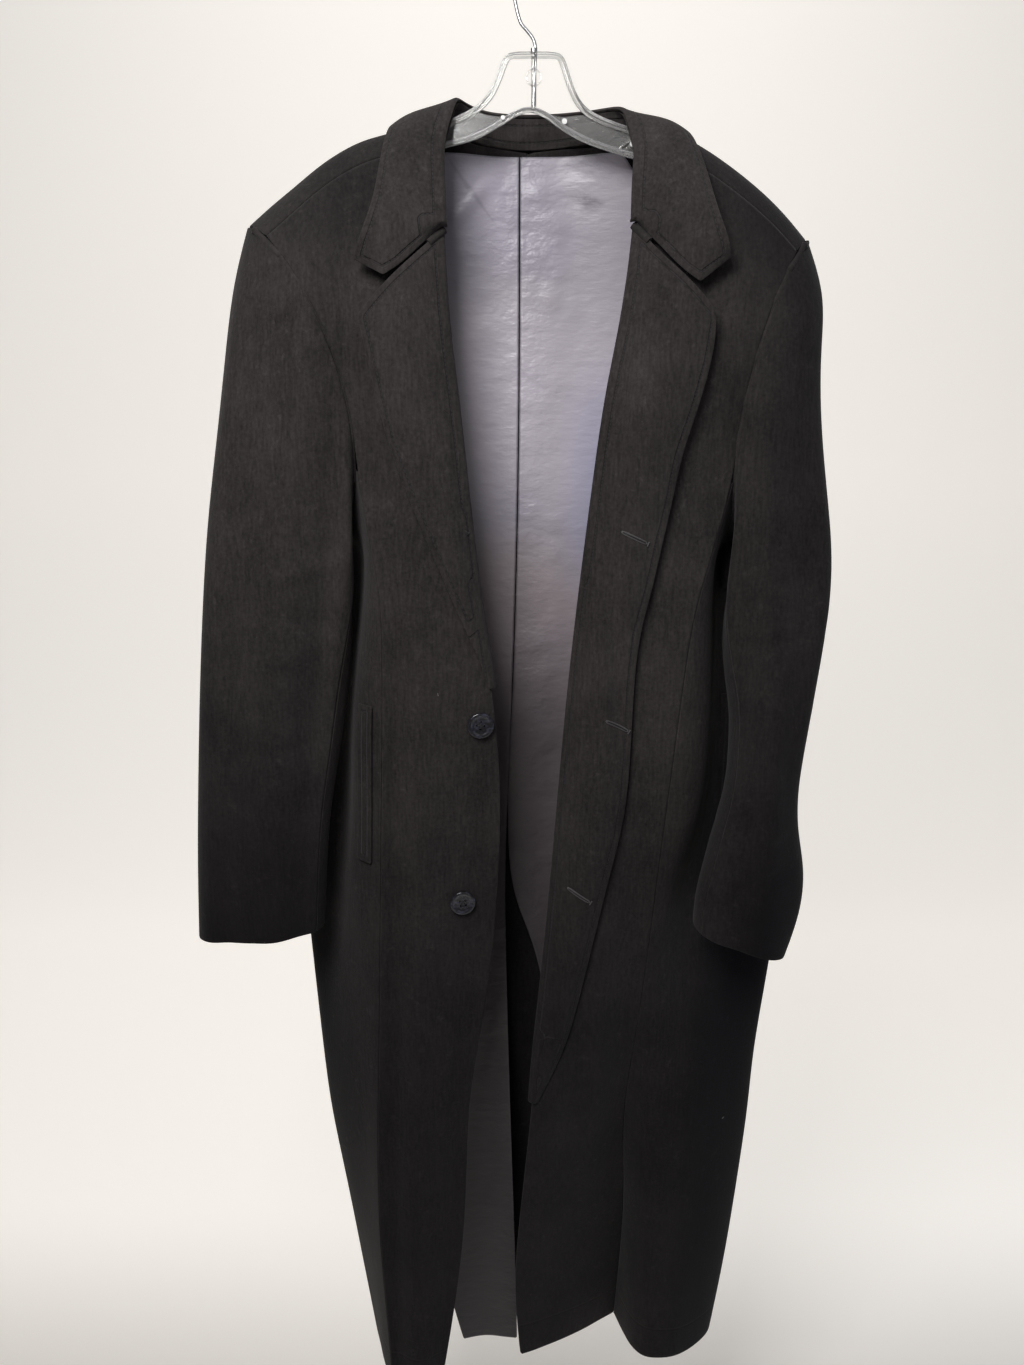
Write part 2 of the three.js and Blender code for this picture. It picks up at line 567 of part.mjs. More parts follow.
function sleeveGrid(side, fromDegrees, toDegrees, columns) {
  const grid = [];
  for (let i = 0; i <= SLEEVE_ROWS; i += 1) {
    const row = [];
    for (let j = 0; j <= columns; j += 1) {
      row.push(sleevePoint(side, i / SLEEVE_ROWS, lerp(fromDegrees, toDegrees, j / columns)));
    }
    grid.push(row);
  }
  return grid;
}

function sleeve(side) {
  const top = sleeveGrid(side, SLEEVE_BACK_SEAM, SLEEVE_FRONT_SEAM, TOP_SLEEVE_COLUMNS);
  const under = sleeveGrid(side, SLEEVE_FRONT_SEAM, 360 + SLEEVE_BACK_SEAM, UNDER_SLEEVE_COLUMNS);
  const topNormals = outwardNormals(side, top, 1);
  const underNormals = outwardNormals(side, under, 1);
  shareNormals(topNormals, TOP_SLEEVE_COLUMNS, underNormals, 0);
  shareNormals(topNormals, 0, underNormals, UNDER_SLEEVE_COLUMNS);
  return [
    wall(`sleeve_top_${side.name}`, drawIn(top, ["start", "end"], SEAM_GAP), SLEEVE_CLOTH, coating,
      topNormals),
    wall(`sleeve_under_${side.name}`, drawIn(under, ["start", "end"], SEAM_GAP), SLEEVE_CLOTH, coating,
      underNormals),
  ];
}

// ---------------------------------------------------------------- facings turned out as lapels
// The facing wraps round the front's edge. Its section is given by its distance from the roll line
// and its height over the front's outer face, both of the facing's outer face.
const FACING_CLOTH = 2.4;
const FACING_RETURN = [[20, -7.4], [9, -7.4], [3.0, -6.2], [-0.2, -2.6], [0, 1.0], [3, 3.4]];
const LAPEL_SHARES = [0.1, 0.25, 0.42, 0.6, 0.8, 1];
const LAPEL_ROWS = { right: 12, left: 20 };

function facingGrid(side) {
  const rows = LAPEL_ROWS[side.name];
  const edge = side.lapel;
  const endZ = edge[edge.length - 1][0];
  const grid = [];
  for (let i = 0; i <= rows; i += 1) {
    const t = i / rows;
    const rollZ = lerp(side.gorge[0][1], endZ, t);
    const tipZ = lerp(edge[0][0], endZ, t);
    const roll = read(side.edge, rollZ);
    const tip = read(edge, tipZ);
    const tipLift = read(edge, tipZ, 2);
    const row = FACING_RETURN.map(([away, height]) => {
      const out = roll + away;
      return v3(side.sign * out, frontDepth(side, out, rollZ) - height, rollZ);
    });
    LAPEL_SHARES.forEach((share) => {
      let out = lerp(roll + 3, tip, share);
      let z = lerp(rollZ, tipZ, share);
      if (i === 0) [out, z] = along(side.gorge, share);
      const belly = 9 * Math.sin(Math.PI * share) * smooth((tip - roll) / 45);
      const height = 3.4 + tipLift * share ** 1.5 + belly;
      row.push(v3(side.sign * out, frontDepth(side, out, z) - height, z));
    });
    grid.push(row);
  }
  return grid;
}

function facing(side) {
  const grid = facingGrid(side);
  return wall(`facing_${side.name}`, grid, FACING_CLOTH, coating, outwardNormals(side, grid, -1));
}

// ---------------------------------------------------------------- collar
// The collar's fold and the leaf's outer edge, from the middle of the back to the front end of each
// side: out, y, z of the fold, then out, y, z of the leaf's edge, then the leaf's bulge.
const COLLAR_RIGHT = [
  [12, 35, -114, 12, 50, -164, 3],
  [42, 30, -113, 52, 47, -163, 4],
  [62, 14, -110, 92, 34, -152, 6],
  [71, -4, -110, 116, 12, -136, 6],
  [76, -18, -126, 125, -16, -134, 7],
  [82, -33, -152, 131, -40, -164, 7],
  [81, -47, -188, 136, -62, -202, 6],
  [79.5, -57.5, -220, 147, -76, -236, 5],
];
const COLLAR_LEFT = [
  [-12, 35, -114, -12, 50, -164, 3],
  [22, 33, -114, 28, 49, -164, 4],
  [58, 20, -114, 76, 42, -160, 5],
  [79, -2, -117, 118, 18, -142, 6],
  [86, -16, -130, 134, -12, -136, 7],
  [91, -32, -156, 146, -38, -170, 7],
  [88.5, -45, -186, 154, -62, -208, 6],
  [87.5, -54.5, -216, 162, -76, -236, 5],
];
// the leaf's front end, from the fold along the gorge seam to the notch and out to its point
const COLLAR_END = {
  right: [[80, -223], [113, -255], [126, -266], [154, -252]],
  left: [[88, -219], [121, -254], [139, -272], [168, -250]],
};
const LEAF_SHARES = [0, 0.16, 0.34, 0.52, 0.7, 0.86, 1];
const LIP = { inward: 5.2, drop: 1.5 };   // the leaf rolls over the fold and ends inside, on the stand
const STAND_DROP = 3.9;                   // the stand's top lies this far under the fold

function collarEnd(side) {
  const points = LEAF_SHARES.map((share) => {
    const [out, z] = along(COLLAR_END[side.name], share);
    const height = 4.2 + 10 * share + 4 * Math.sin(Math.PI * share);
    return v3(side.sign * out, frontDepth(side, out, z) - height, z);
  });
  const lip = points[0].clone().add(v3(-side.sign * LIP.inward, 2.5, 0));
  const crest = points[0].clone().lerp(lip, 0.5).add(v3(0, -1.2, 0));
  return [lip, crest, ...points];
}

// The directions at a place on the fold: down to the stand's foot, and in towards the neck.
function foldFrame(side, folds, i) {
  const at = (k) => v3(side.sign * folds[k][0], folds[k][1], folds[k][2]);
  const tangent = at(Math.min(i + 1, folds.length - 1)).sub(at(Math.max(i - 1, 0))).normalize();
  const fold = at(i);
  const edge = v3(side.sign * folds[i][3], folds[i][4], folds[i][5]);
  const drop = v3(0, 0, -1).addScaledVector(tangent, tangent.z).normalize();
  const inward = tangent.clone().cross(drop);
  if (inward.dot(edge.clone().sub(fold)) > 0) inward.negate();
  return { fold, edge, drop, inward };
}

function leafRow(side, folds, i) {
  const { fold, edge, drop, inward } = foldFrame(side, folds, i);
  const bulge = folds[i][6];
  const away = v3((edge.x - fold.x) * 0.4, edge.y - fold.y, 22).normalize();
  const lip = fold.clone().addScaledVector(inward, LIP.inward).addScaledVector(drop, LIP.drop);
  const crest = fold.clone().addScaledVector(inward, LIP.inward / 2).addScaledVector(drop, -1.2);
  return [lip, crest, ...LEAF_SHARES.map((share) => fold.clone().lerp(edge, share)
    .addScaledVector(away, bulge * Math.sin(Math.PI * share) + 0.5))];
}

// Adds rows half way between the given ones, on a smooth curve.
function refine(rows) {
  const columns = rows[0].map((_, j) => new THREE.CatmullRomCurve3(
    rows.map((row) => row[j]), false, "catmullrom", 0.5));
  const count = 2 * (rows.length - 1);
  return Array.from({ length: count + 1 }, (_, i) => columns.map((curve) => curve.getPoint(i / count)));
}

function collarLeaf() {
  const rowsOf = (side, folds) => folds.map((_, i) => leafRow(side, folds, i));
  const rows = [collarEnd(right), ...rowsOf(right, COLLAR_RIGHT).reverse(),
    ...rowsOf(left, COLLAR_LEFT).slice(1), collarEnd(left)];
  const grid = refine(rows);
  return wall("collar_leaf", grid, COAT_CLOTH, coating, turnedNormals(grid));
}

const turnedNormals = (grid) => gridNormals(grid).map((row) => row.map((n) => n.negate()));

// The stand rises from the neck seam to the fold, inside the leaf.
const STAND_SHARES = [0, 0.33, 0.66, 1];
const NECKLINE = {
  right: [[12, 29.2, -144.2], [38, 24.2, -142], [61, 13.2, -137.8], [82, -5, -126], [84.4, -12, -136],
    [84.4, -19, -153]],
  left: [[-12, 29.2, -144.2], [22, 26.6, -143.2], [60, 16.6, -138.8], [89, -5, -127], [91.2, -12, -136],
    [91.2, -19, -153]],
};

function collarStand() {
  const rowsOf = (side, folds) => NECKLINE[side.name].map(([out, y, z], i) => {
    const { fold, drop, inward } = foldFrame(side, folds, i);
    const top = fold.addScaledVector(inward, LIP.inward).addScaledVector(drop, STAND_DROP);
    const foot = v3(side.sign * out, y, z);
    return { points: STAND_SHARES.map((share) => top.clone().lerp(foot, share)), inward };
  });
  const rows = [...rowsOf(right, COLLAR_RIGHT).reverse(), ...rowsOf(left, COLLAR_LEFT).slice(1)];
  const grid = refine(rows.map(({ points }) => points));
  const normals = refine(rows.map(({ inward }) => STAND_SHARES.map(() => inward)));
  normals.forEach((row) => row.forEach((n) => n.normalize()));
  return wall("collar_stand", grid, COAT_CLOTH, coating, normals);
}

// ---------------------------------------------------------------- lining
const LINING_COLUMNS = 7;
const LINING_ROWS_Z = [-150, -200, -270, -345, -428, -500, -580, -670, -760, -850, -900, -950, -1050,
  -1150, -1250, -1350, -1434];
// the lining's depth in front of the back's inner face, and its two edges.  z, gap, inner x, outer x
const LINING = {
  right: [[-150, 2.2, -12.5, -80], [-200, 4, -12.5, -120], [-345, 6, -12.5, -158], [-500, 7, -14.5, -164],
    [-670, 10, -19.5, -172], [-850, 22, -26.5, -160], [-950, 34, -25.5, -140], [-1150, 50, -20.5, -116],
    [-1350, 60, -14.5, -96], [-1434, 64, -13, -76]],
  left: [[-150, 2.2, -11.5, 80], [-200, 4, -11.5, 120], [-345, 6, -11.5, 160], [-500, 7, -13.5, 168],
    [-670, 10, -18.5, 174], [-839, 12, -24.5, 176], [-914, 16, -9, 160], [-959, 20, 13, 140],
    [-1150, 20, 24, 88], [-1434, 20, 30, 74]],
};

function liningGrid(side) {
  const table = LINING[side.name];
  return LINING_ROWS_Z.map((z) => {
    const gap = read(table, z);
    const inner = read(table, z, 2);
    const outer = read(table, z, 3);
    return Array.from({ length: LINING_COLUMNS + 1 }, (_, j) => {
      const x = lerp(inner, outer, j / LINING_COLUMNS);
      const out = side.sign * x;
      return v3(x, backDepth(side, Math.max(out, 0), z) - COAT_CLOTH - gap - LINING_CLOTH, z);
    });
  });
}

function lining(side) {
  const grid = liningGrid(side);
  return wall(`lining_${side.name}`, grid, LINING_CLOTH, satin, outwardNormals(side, grid, -1));
}

// ---------------------------------------------------------------- welts
const WELT = {
  right: { top: -646, bottom: -806, from: 0.085, to: 0.235 },
  left: { top: -650, bottom: -810, from: 0.51, to: 0.575 },
};
const WELT_CLOTH = 1.6;
const WELT_ROWS = 6;
const WELT_COLUMNS = 2;

// A point on column `j` of the side panel, on the straight faces between the panel's rows.
function panelPoint(side, j, z) {
  const k = SEAM_ROWS_Z.findIndex((rowZ) => rowZ <= z);
  const [above, below] = [SEAM_ROWS_Z[k - 1], SEAM_ROWS_Z[k]];
  const onRow = (rowZ) => sideSection(side, rowZ).getPoint(j / SIDE_COLUMNS);
  return onRow(above).lerp(onRow(below), (above - z) / (above - below));
}

function welt(side) {
  const { top, bottom, from, to } = WELT[side.name];
  const grid = [];
  for (let i = 0; i <= WELT_ROWS; i += 1) {
    const z = lerp(top, bottom, i / WELT_ROWS);
    const row = [];
    for (let j = 0; j <= WELT_COLUMNS; j += 1) {
      const place = lerp(from, to, j / WELT_COLUMNS) * SIDE_COLUMNS;
      const before = panelPoint(side, Math.floor(place), z);
      const after = panelPoint(side, Math.floor(place) + 1, z);
      const away = v3(after.y - before.y, before.x - after.x, 0).setLength(side.sign);
      row.push(before.lerp(after, place % 1).addScaledVector(away, WELT_CLOTH + LAY_GAP + 0.7));
    }
    grid.push(row);
  }
  return wall(`welt_${side.name}`, grid, WELT_CLOTH, coating, outwardNormals(side, grid, -1));
}

// ---------------------------------------------------------------- buttons
const BUTTONS = [
  { name: "button_top", out: 77, z: -478 },
  { name: "button_middle", out: 49, z: -663 },
  { name: "button_lower", out: 68, z: -846 },
];
const BUTTON_CLEAR = 0.8;      // a button stands on its thread
const HOLE_RADIUS = 1.1;
const HOLE_SPREAD = 2.4;

function buttonSolid() {
  const radius = BUTTON_DIAMETER / 2;
  const profile = [[0, 0], [radius - 2, 0], [radius, 1.6], [radius, 3.2], [radius - 1, BUTTON_THICK],
    [radius - 3, BUTTON_THICK], [radius - 4.6, 2.8], [0, 2.6]];
  const lathe = new THREE.LatheGeometry(profile.map(([r, h]) => new THREE.Vector2(r, h)), 24);
  let solid = toSolid(lathe);
  [[-1, -1], [1, -1], [-1, 1], [1, 1]].forEach(([i, k]) => {
    const hole = new THREE.CylinderGeometry(HOLE_RADIUS, HOLE_RADIUS, 12, 8);
    hole.translate(i * HOLE_SPREAD, 0, k * HOLE_SPREAD);
    solid = solid.subtract(toSolid(hole));
  });
  return solid;
}

function buttons() {
  const solid = buttonSolid();
  return BUTTONS.map(({ name, out, z }) => {
    const mesh = fromSolid(name, solid, horn);
    const at = (o, h) => v3(right.sign * o, frontDepth(right, o, h), h);
    const reach = BUTTON_DIAMETER / 2;
    const across = at(out + reach, z).sub(at(out - reach, z));
    const down = at(out, z - reach).sub(at(out, z + reach));
    const away = across.cross(down).normalize();
    mesh.quaternion.setFromUnitVectors(v3(0, 1, 0), away);
    mesh.position.copy(at(out, z)).addScaledVector(away, BUTTON_CLEAR);
    return mesh;
  });
}

// ---------------------------------------------------------------- hanger and hook
const HANGER_Y = RIDGE_Y;
const ARM_END = 205;
const RAIL_GAP = 4.4;          // under the ridge line; the cloth's facets come nearer

// The upper rail lies just under the cloth of the shoulder.
function armRail(side) {
  const points = [];
  for (let out = 108; out <= ARM_END; out += 24) {
    points.push([side.sign * out, ridgeZ(side, out) - COAT_CLOTH - RAIL_RADIUS - RAIL_GAP]);
  }
  return points;
}

const UPPER_LEFT = [[0, BAR_Z], [19, BAR_Z], [24.5, BAR_Z - 3], [33, -106], [42, -119.5], [57, -128.5],
  [86, -137.5]];
const UPPER_RIGHT = [[-88, -137.5], [-71, -130], [-50, -121], [-37.5, -110], [-30.5, -96],
  [-24.5, BAR_Z - 3], [-19, BAR_Z]];
const LOWER_RAIL = [[-84, -149.5], [-54.5, -143.5], [-33, -133], [-15.5, -122.5], [-3, -119.4],
  [10, -123.3], [27, -135.4], [47, -145], [68, -151.6], [90, -158]];

function tube(points, radius, sides, steps) {
  const curve = new THREE.CatmullRomCurve3(points.map(([x, z]) => v3(x, HANGER_Y, z)), false,
    "centripetal");
  const shape = new THREE.Shape();
  for (let k = 0; k < sides; k += 1) {
    const angle = 2 * Math.PI * k / sides;
    const call = k ? "lineTo" : "moveTo";
    shape[call](radius * Math.cos(angle), radius * Math.sin(angle));
  }
  return new THREE.ExtrudeGeometry(shape, { steps, extrudePath: curve, bevelEnabled: false });
}

function hanger() {
  const upper = [...armRail(right).reverse(), ...UPPER_RIGHT, ...UPPER_LEFT, ...armRail(left)];
  const drop = 15;
  const lowerEnd = (side) => armRail(side).slice(1).map(([x, z], i) => [x, z - drop + 2.2 * i]);
  const lower = [...lowerEnd(right).reverse(), ...LOWER_RAIL, ...lowerEnd(left)];
  const stem = [[0, BAR_Z], [0, -98], [0, -119.5]];
  let solid = toSolid(tube(upper, RAIL_RADIUS, 8, 56))
    .add(toSolid(tube(lower, RAIL_RADIUS * 0.8, 6, 44)))
    .add(toSolid(tube(stem, 2.2, 6, 4)));
  [right, left].forEach((side) => {
    solid = solid.add(webPlate(side, upper, lower));
  });
  return fromSolid("hanger", solid, clear);
}

// The thin clear plate between the two rails of an arm.
function webPlate(side, upper, lower) {
  const onSide = (points) => points.filter(([x]) => side.sign * x > 34);
  const top = onSide(upper).sort((a, b) => side.sign * (a[0] - b[0]));
  const bottom = onSide(lower).sort((a, b) => side.sign * (a[0] - b[0]));
  const shape = new THREE.Shape([...top, ...bottom.reverse()].map(([x, z]) => new THREE.Vector2(x, z)));
  const plate = new THREE.ExtrudeGeometry(shape, { depth: 2, bevelEnabled: false });
  plate.rotateX(Math.PI / 2);
  plate.translate(0, HANGER_Y + 1, 0);
  return toSolid(plate);
}

function hook() {
  const centre = { x: 1.7, z: -HOOK_INNER_RADIUS };
  const radius = HOOK_INNER_RADIUS + WIRE_RADIUS;
  const points = [[0, BAR_Z + RAIL_RADIUS + 0.6], [-0.6, -68], [-3, -60], [-11, -49]];
  for (let degrees = 205; degrees >= -20; degrees -= 15) {
    const angle = THREE.MathUtils.degToRad(degrees);
    points.push([centre.x + radius * Math.cos(angle), centre.z + radius * Math.sin(angle)]);
  }
  return fromSolid("hook", toSolid(tube(points, WIRE_RADIUS, 8, 48)), chrome);
}

// ---------------------------------------------------------------- the part
const overcoat = new THREE.Group();
[right, left].forEach((side) => {
  bodyPanels(side).forEach((mesh) => overcoat.add(mesh));
  sleeve(side).forEach((mesh) => overcoat.add(mesh));
  overcoat.add(facing(side), lining(side), welt(side));
});
overcoat.add(collarLeaf(), collarStand(), ...buttons(), hanger(), hook());

export default overcoat;
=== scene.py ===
"""An overcoat hanging open on a clear hanger: cloth, sewing, trims and studio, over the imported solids."""

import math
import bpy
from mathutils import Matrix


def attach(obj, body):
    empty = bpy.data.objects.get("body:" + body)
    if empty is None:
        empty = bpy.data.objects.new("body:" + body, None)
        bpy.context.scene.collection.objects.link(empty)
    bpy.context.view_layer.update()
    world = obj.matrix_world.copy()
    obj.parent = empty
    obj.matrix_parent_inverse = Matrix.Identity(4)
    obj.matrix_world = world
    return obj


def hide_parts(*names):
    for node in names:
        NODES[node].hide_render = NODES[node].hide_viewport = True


bl_info = {
    "name": "Overcoat on a hanger",
    "version": (1, 0, 0),
    "blender": (4, 5, 0),
    "location": "3D View > Sidebar > Overcoat",
    "description": "Makes the cloth, sewing, buttons and hanger of an overcoat over its packed solids",
    "category": "Object",
}

import bpy
import numpy as np
from bpy.props import FloatProperty, FloatVectorProperty, PointerProperty
from bpy.types import Operator, Panel, PropertyGroup
from mathutils import Vector
from mathutils.kdtree import KDTree

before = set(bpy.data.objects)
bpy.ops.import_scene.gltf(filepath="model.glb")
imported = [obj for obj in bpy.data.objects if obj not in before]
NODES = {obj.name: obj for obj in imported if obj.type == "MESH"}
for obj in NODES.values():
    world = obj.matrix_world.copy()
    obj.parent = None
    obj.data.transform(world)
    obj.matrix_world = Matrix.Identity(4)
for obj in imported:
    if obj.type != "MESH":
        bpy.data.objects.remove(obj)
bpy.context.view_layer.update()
MM = 0.001

# ---- folds, in mm
# A fold is a soft ridge or valley that runs down the cloth: rows of z, x, half width, height.
# Height is towards the front of the coat, so a valley's is negative.
FRONT_FOLDS = [
    [(-250, 79, 9, 0), (-276, 79, 9, -1.6), (-368, 72, 9, -2.4), (-482, 71, 8, -3.0), (-545, 72, 8, -3.2),
     (-669, 82, 9, -2.8), (-705, 86, 10, -1.6), (-780, 90, 12, 0)],
    [(-700, 108, 16, 0), (-763, 106, 16, -1.5), (-959, 98, 18, -3.2), (-1137, 99, 20, -4),
     (-1455, 104, 22, -5)],
    [(-760, 66, 18, 0), (-900, 68, 18, 1.6), (-1016, 68, 20, 2.4), (-1198, 72, 22, 3), (-1455, 81, 24, 3.6)],
    [(-840, 48, 12, 0), (-900, 44, 12, 1), (-1017, 31, 14, 1.8), (-1200, 17, 16, 2), (-1455, 8, 18, 2)],
    [(-760, 158, 18, 0), (-809, 158, 18, -2), (-964, 158, 22, -3.5), (-1207, 155, 26, -4.5),
     (-1455, 143, 28, -5)],
    [(-560, -95, 14, 0), (-640, -98, 15, 1.4), (-739, -101, 17, 2.2), (-953, -112, 20, 2.6),
     (-1255, -122, 22, 2.8), (-1455, -126, 24, 3)],
    [(-380, -136, 9, 0), (-480, -138, 9, -2), (-582, -126, 10, -3.2), (-739, -130, 10, -3.8),
     (-953, -138, 11, -4), (-1255, -147, 12, -4), (-1455, -146, 13, -4)],
    [(-900, -62, 10, 0), (-1050, -72, 11, -1.4), (-1200, -80, 12, -2), (-1455, -100, 14, -2.4)],
]
SLEEVE_FOLDS = [
    [(-250, -205, 14, 0), (-309, -201, 15, 1.6), (-454, -216, 17, 2.6), (-639, -236, 19, 2.8),
     (-842, -252, 20, 2.6), (-900, -256, 20, 2.4)],
    [(-340, -172, 9, 0), (-393, -177, 10, -1.6), (-544, -192, 12, -2.6), (-698, -211, 13, -2.6),
     (-842, -226, 14, -2), (-900, -230, 14, -1.6)],
    [(-290, -245, 11, 0), (-360, -250, 12, -1.6), (-454, -262, 13, -2.4), (-641, -280, 14, -2.4),
     (-847, -300, 14, -1.8), (-900, -304, 14, -1.6)],
    [(-290, 212, 14, 0), (-351, 210, 15, 1.6), (-497, 215, 17, 2.6), (-636, 217, 18, 2.6),
     (-785, 228, 18, 2.6), (-900, 226, 18, 2)],
    [(-340, 190, 9, 0), (-410, 188, 10, -1.8), (-542, 191, 12, -2.6), (-675, 202, 12, -2.6),
     (-796, 201, 13, -2), (-900, 196, 14, -1.4)],
    [(-330, 246, 9, 0), (-420, 250, 10, -1.6), (-560, 254, 11, -2.2), (-700, 240, 11, -2.2),
     (-760, 240, 12, -1), (-840, 246, 12, 0)],
]
BACK_FOLDS = [
    [(-230, -95, 20, 0), (-330, -100, 22, -1.8), (-460, -112, 24, -2.2), (-640, -120, 24, -1.2),
     (-800, -122, 24, 0)],
    [(-230, 95, 20, 0), (-330, 102, 22, -1.8), (-460, 116, 24, -2.2), (-640, 124, 24, -1.2),
     (-800, 126, 24, 0)],
]
# Creases that cross a sleeve at the elbow: z, x at the middle, half length, half height, slope, height.
SLEEVE_CREASES = [
    (-520, -214, 42, 7, 0.30, 1.6), (-560, -226, 46, 8, -0.22, -1.5), (-600, -232, 40, 7, 0.24, 1.3),
    (-690, -246, 44, 8, 0.16, -1.2), (-300, -214, 40, 8, 0.55, -1.3), (-335, -210, 40, 8, 0.6, 1.0),
    (-540, 226, 34, 7, -0.28, 1.5), (-585, 222, 38, 8, 0.2, -1.4), (-640, 218, 34, 7, -0.2, 1.2),
    (-320, 226, 34, 8, -0.55, -1.2), (-770, 214, 30, 9, 0.4, 1.4), (-812, 222, 26, 9, 0.5, -1.2),
]
# Where the satin pulls against the pleat: z, x at the middle, half length, half height, slope, height.
LINING_CREASES = [
    (-181, 12, 30, 3.5, 0.16, 1.1), (-206, 20, 34, 5, -0.1, 0.8), (-238, 8, 26, 3.5, -0.2, 1.2),
    (-270, 16, 36, 3.5, -0.42, 1.3), (-300, -42, 24, 5, 0.3, 0.8), (-345, 20, 34, 5, -0.3, 0.8),
    (-420, -46, 24, 6, 0.4, 0.7), (-478, 10, 30, 4, -0.35, 1.3), (-510, 22, 34, 5, -0.5, 0.9),
    (-560, -40, 22, 5, 0.4, 0.8), (-604, 6, 34, 4.5, -0.2, 1.2), (-650, 14, 30, 5, -0.35, 1.0),
    (-700, 10, 26, 4.5, -0.3, 1.1), (-742, 12, 26, 4.5, -0.25, 0.9), (-790, 14, 24, 5, -0.3, 1.0),
    (-840, 10, 24, 5, -0.25, 1.0), (-190, -58, 20, 6, 0.9, 1.2),
]


# ---- settings a user can change
class OvercoatCloth(PropertyGroup):
    wool_dark: FloatVectorProperty(
        name="Wool, dark", description="Colour between the fibres", subtype="COLOR",
        default=(0.0085, 0.0072, 0.0075), min=0, max=1)
    wool_light: FloatVectorProperty(
        name="Wool, light", description="Colour of the brushed tips", subtype="COLOR",
        default=(0.068, 0.059, 0.059), min=0, max=1)
    satin: FloatVectorProperty(
        name="Satin", description="Colour of the lining", subtype="COLOR",
        default=(0.40, 0.37, 0.41), min=0, max=1)
    fold_depth: FloatProperty(
        name="Fold depth", description="How deep the hanging folds are, as a share", default=1.5,
        min=0, max=2, subtype="FACTOR")
    stitch_inset: FloatProperty(
        name="Stitch inset", description="From an edge to its line of stitches", default=6 * MM,
        min=2 * MM, max=12 * MM, subtype="DISTANCE", unit="LENGTH")


class OvercoatTrims(PropertyGroup):
    horn: FloatVectorProperty(
        name="Horn", description="Colour of the buttons", subtype="COLOR",
        default=(0.007, 0.007, 0.010), min=0, max=1)
    thread: FloatProperty(
        name="Thread", description="About the radius of a strand of sewing thread", default=0.5 * MM,
        min=0.2 * MM, max=1 * MM, subtype="DISTANCE", unit="LENGTH")
    rail: FloatProperty(
        name="Rail", description="Radius of the hanger's upper rail", default=3 * MM,
        min=2 * MM, max=4 * MM, subtype="DISTANCE", unit="LENGTH")
    wire: FloatProperty(
        name="Hook wire", description="Radius of the hook's wire", default=1.5 * MM,
        min=1 * MM, max=2 * MM, subtype="DISTANCE", unit="LENGTH")


class OvercoatStudio(PropertyGroup):
    key: FloatProperty(
        name="Key light", description="Power of the large lamp above and left of the camera", default=17.5,
        min=0, max=500, subtype="POWER", unit="POWER")
    fill: FloatProperty(
        name="Fill light", description="Power of the lamp on the right", default=2.6,
        min=0, max=500, subtype="POWER", unit="POWER")
    backdrop: FloatVectorProperty(
        name="Backdrop", description="Colour of the floor and wall", subtype="COLOR",
        default=(0.87, 0.84, 0.80), min=0, max=1)


# ---- shader tools
def math_method(operation, swapped=False):
    """A method of Value that adds one Math node."""
    def method(self, other=0.0):
        first, second = (other, self) if swapped else (self, other)
        return self.nodes.node("ShaderNodeMath", {"operation": operation}, {0: first, 1: second})
    return method


class Value:
    """A number in a material's nodes that can be used in Python sums."""
    __add__ = __radd__ = math_method("ADD")
    __mul__ = __rmul__ = math_method("MULTIPLY")
    __sub__, __rsub__ = math_method("SUBTRACT"), math_method("SUBTRACT", swapped=True)
    __truediv__, __gt__ = math_method("DIVIDE"), math_method("GREATER_THAN")
    __abs__ = math_method("ABSOLUTE")

    def __init__(self, nodes, socket):
        self.nodes, self.socket = nodes, socket

    def between(self, low, high):
        """0 at low, 1 at high, and smooth between."""
        return self.nodes.node(
            "ShaderNodeMapRange", {"interpolation_type": "SMOOTHSTEP"},
            {"Value": self, "From Min": low, "From Max": high})


class Finish:
    """One material, and the nodes that it is built from."""

    def __init__(self, name, **constants):
        self.material = bpy.data.materials.new(name)
        self.material.use_nodes = True
        self.tree = self.material.node_tree
        self.shader = self.tree.nodes["Principled BSDF"]
        for socket, value in constants.items():
            self.shader.inputs[socket.replace("_", " ")].default_value = value
        self.place = self.node("ShaderNodeTexCoord", output="Object")

    def node(self, kind, settings=None, inputs=None, output=0):
        made = self.tree.nodes.new(kind)
        for name, value in (settings or {}).items():
            setattr(made, name, value)
        for socket, value in (inputs or {}).items():
            self.feed(made.inputs[socket], value)
        return Value(self, made.outputs[output])

    def feed(self, socket, value):
        if isinstance(value, Value):
            self.tree.links.new(value.socket, socket)
        else:
            socket.default_value = value

    def noise(self, scale, detail=2.0, where=None, roughness=0.5):
        return self.node("ShaderNodeTexNoise", inputs={
            "Vector": where or self.place, "Scale": scale, "Detail": detail, "Roughness": roughness})

    def grain(self, scales, detail, roughness=0.5):
        """Noise with a scale of its own along each axis."""
        place = self.node("ShaderNodeMapping", inputs={"Vector": self.place, "Scale": scales})
        return self.noise(1.0, detail, place, roughness)

    def attribute(self, name):
        return self.node("ShaderNodeAttribute", {"attribute_name": name}, output="Fac")

    def axis(self, letter):
        return self.node("ShaderNodeSeparateXYZ", inputs={0: self.place}, output=letter)

    def mix(self, share, first, second):
        """A share of the second colour over the first: each is a node's, or red, green and blue."""
        first, second = (end if isinstance(end, Value) else (*end, 1.0) for end in (first, second))
        return self.node("ShaderNodeMix", {"data_type": "RGBA"}, {0: share, 6: first, 7: second}, output=2)

    def colour(self, value):
        self.feed(self.shader.inputs["Base Color"], value)

    def roughness(self, value):
        self.feed(self.shader.inputs["Roughness"], value)

    def bump(self, height, depth, strength=1.0):
        self.feed(self.shader.inputs["Normal"], self.node("ShaderNodeBump", inputs={
            "Height": height, "Distance": depth, "Strength": strength}))


HEM_LINE = -1.408
STITCH_LENGTH = 4.5 * MM
# Colour that the wool is mixed towards where shade is painted into it.
PAINTED_SHADE_WOOL = (0.0035, 0.0032, 0.0045)
# Above this height the plain wool is darkened: painted shade over the shoulders.
SHOULDER_LINE = -0.20


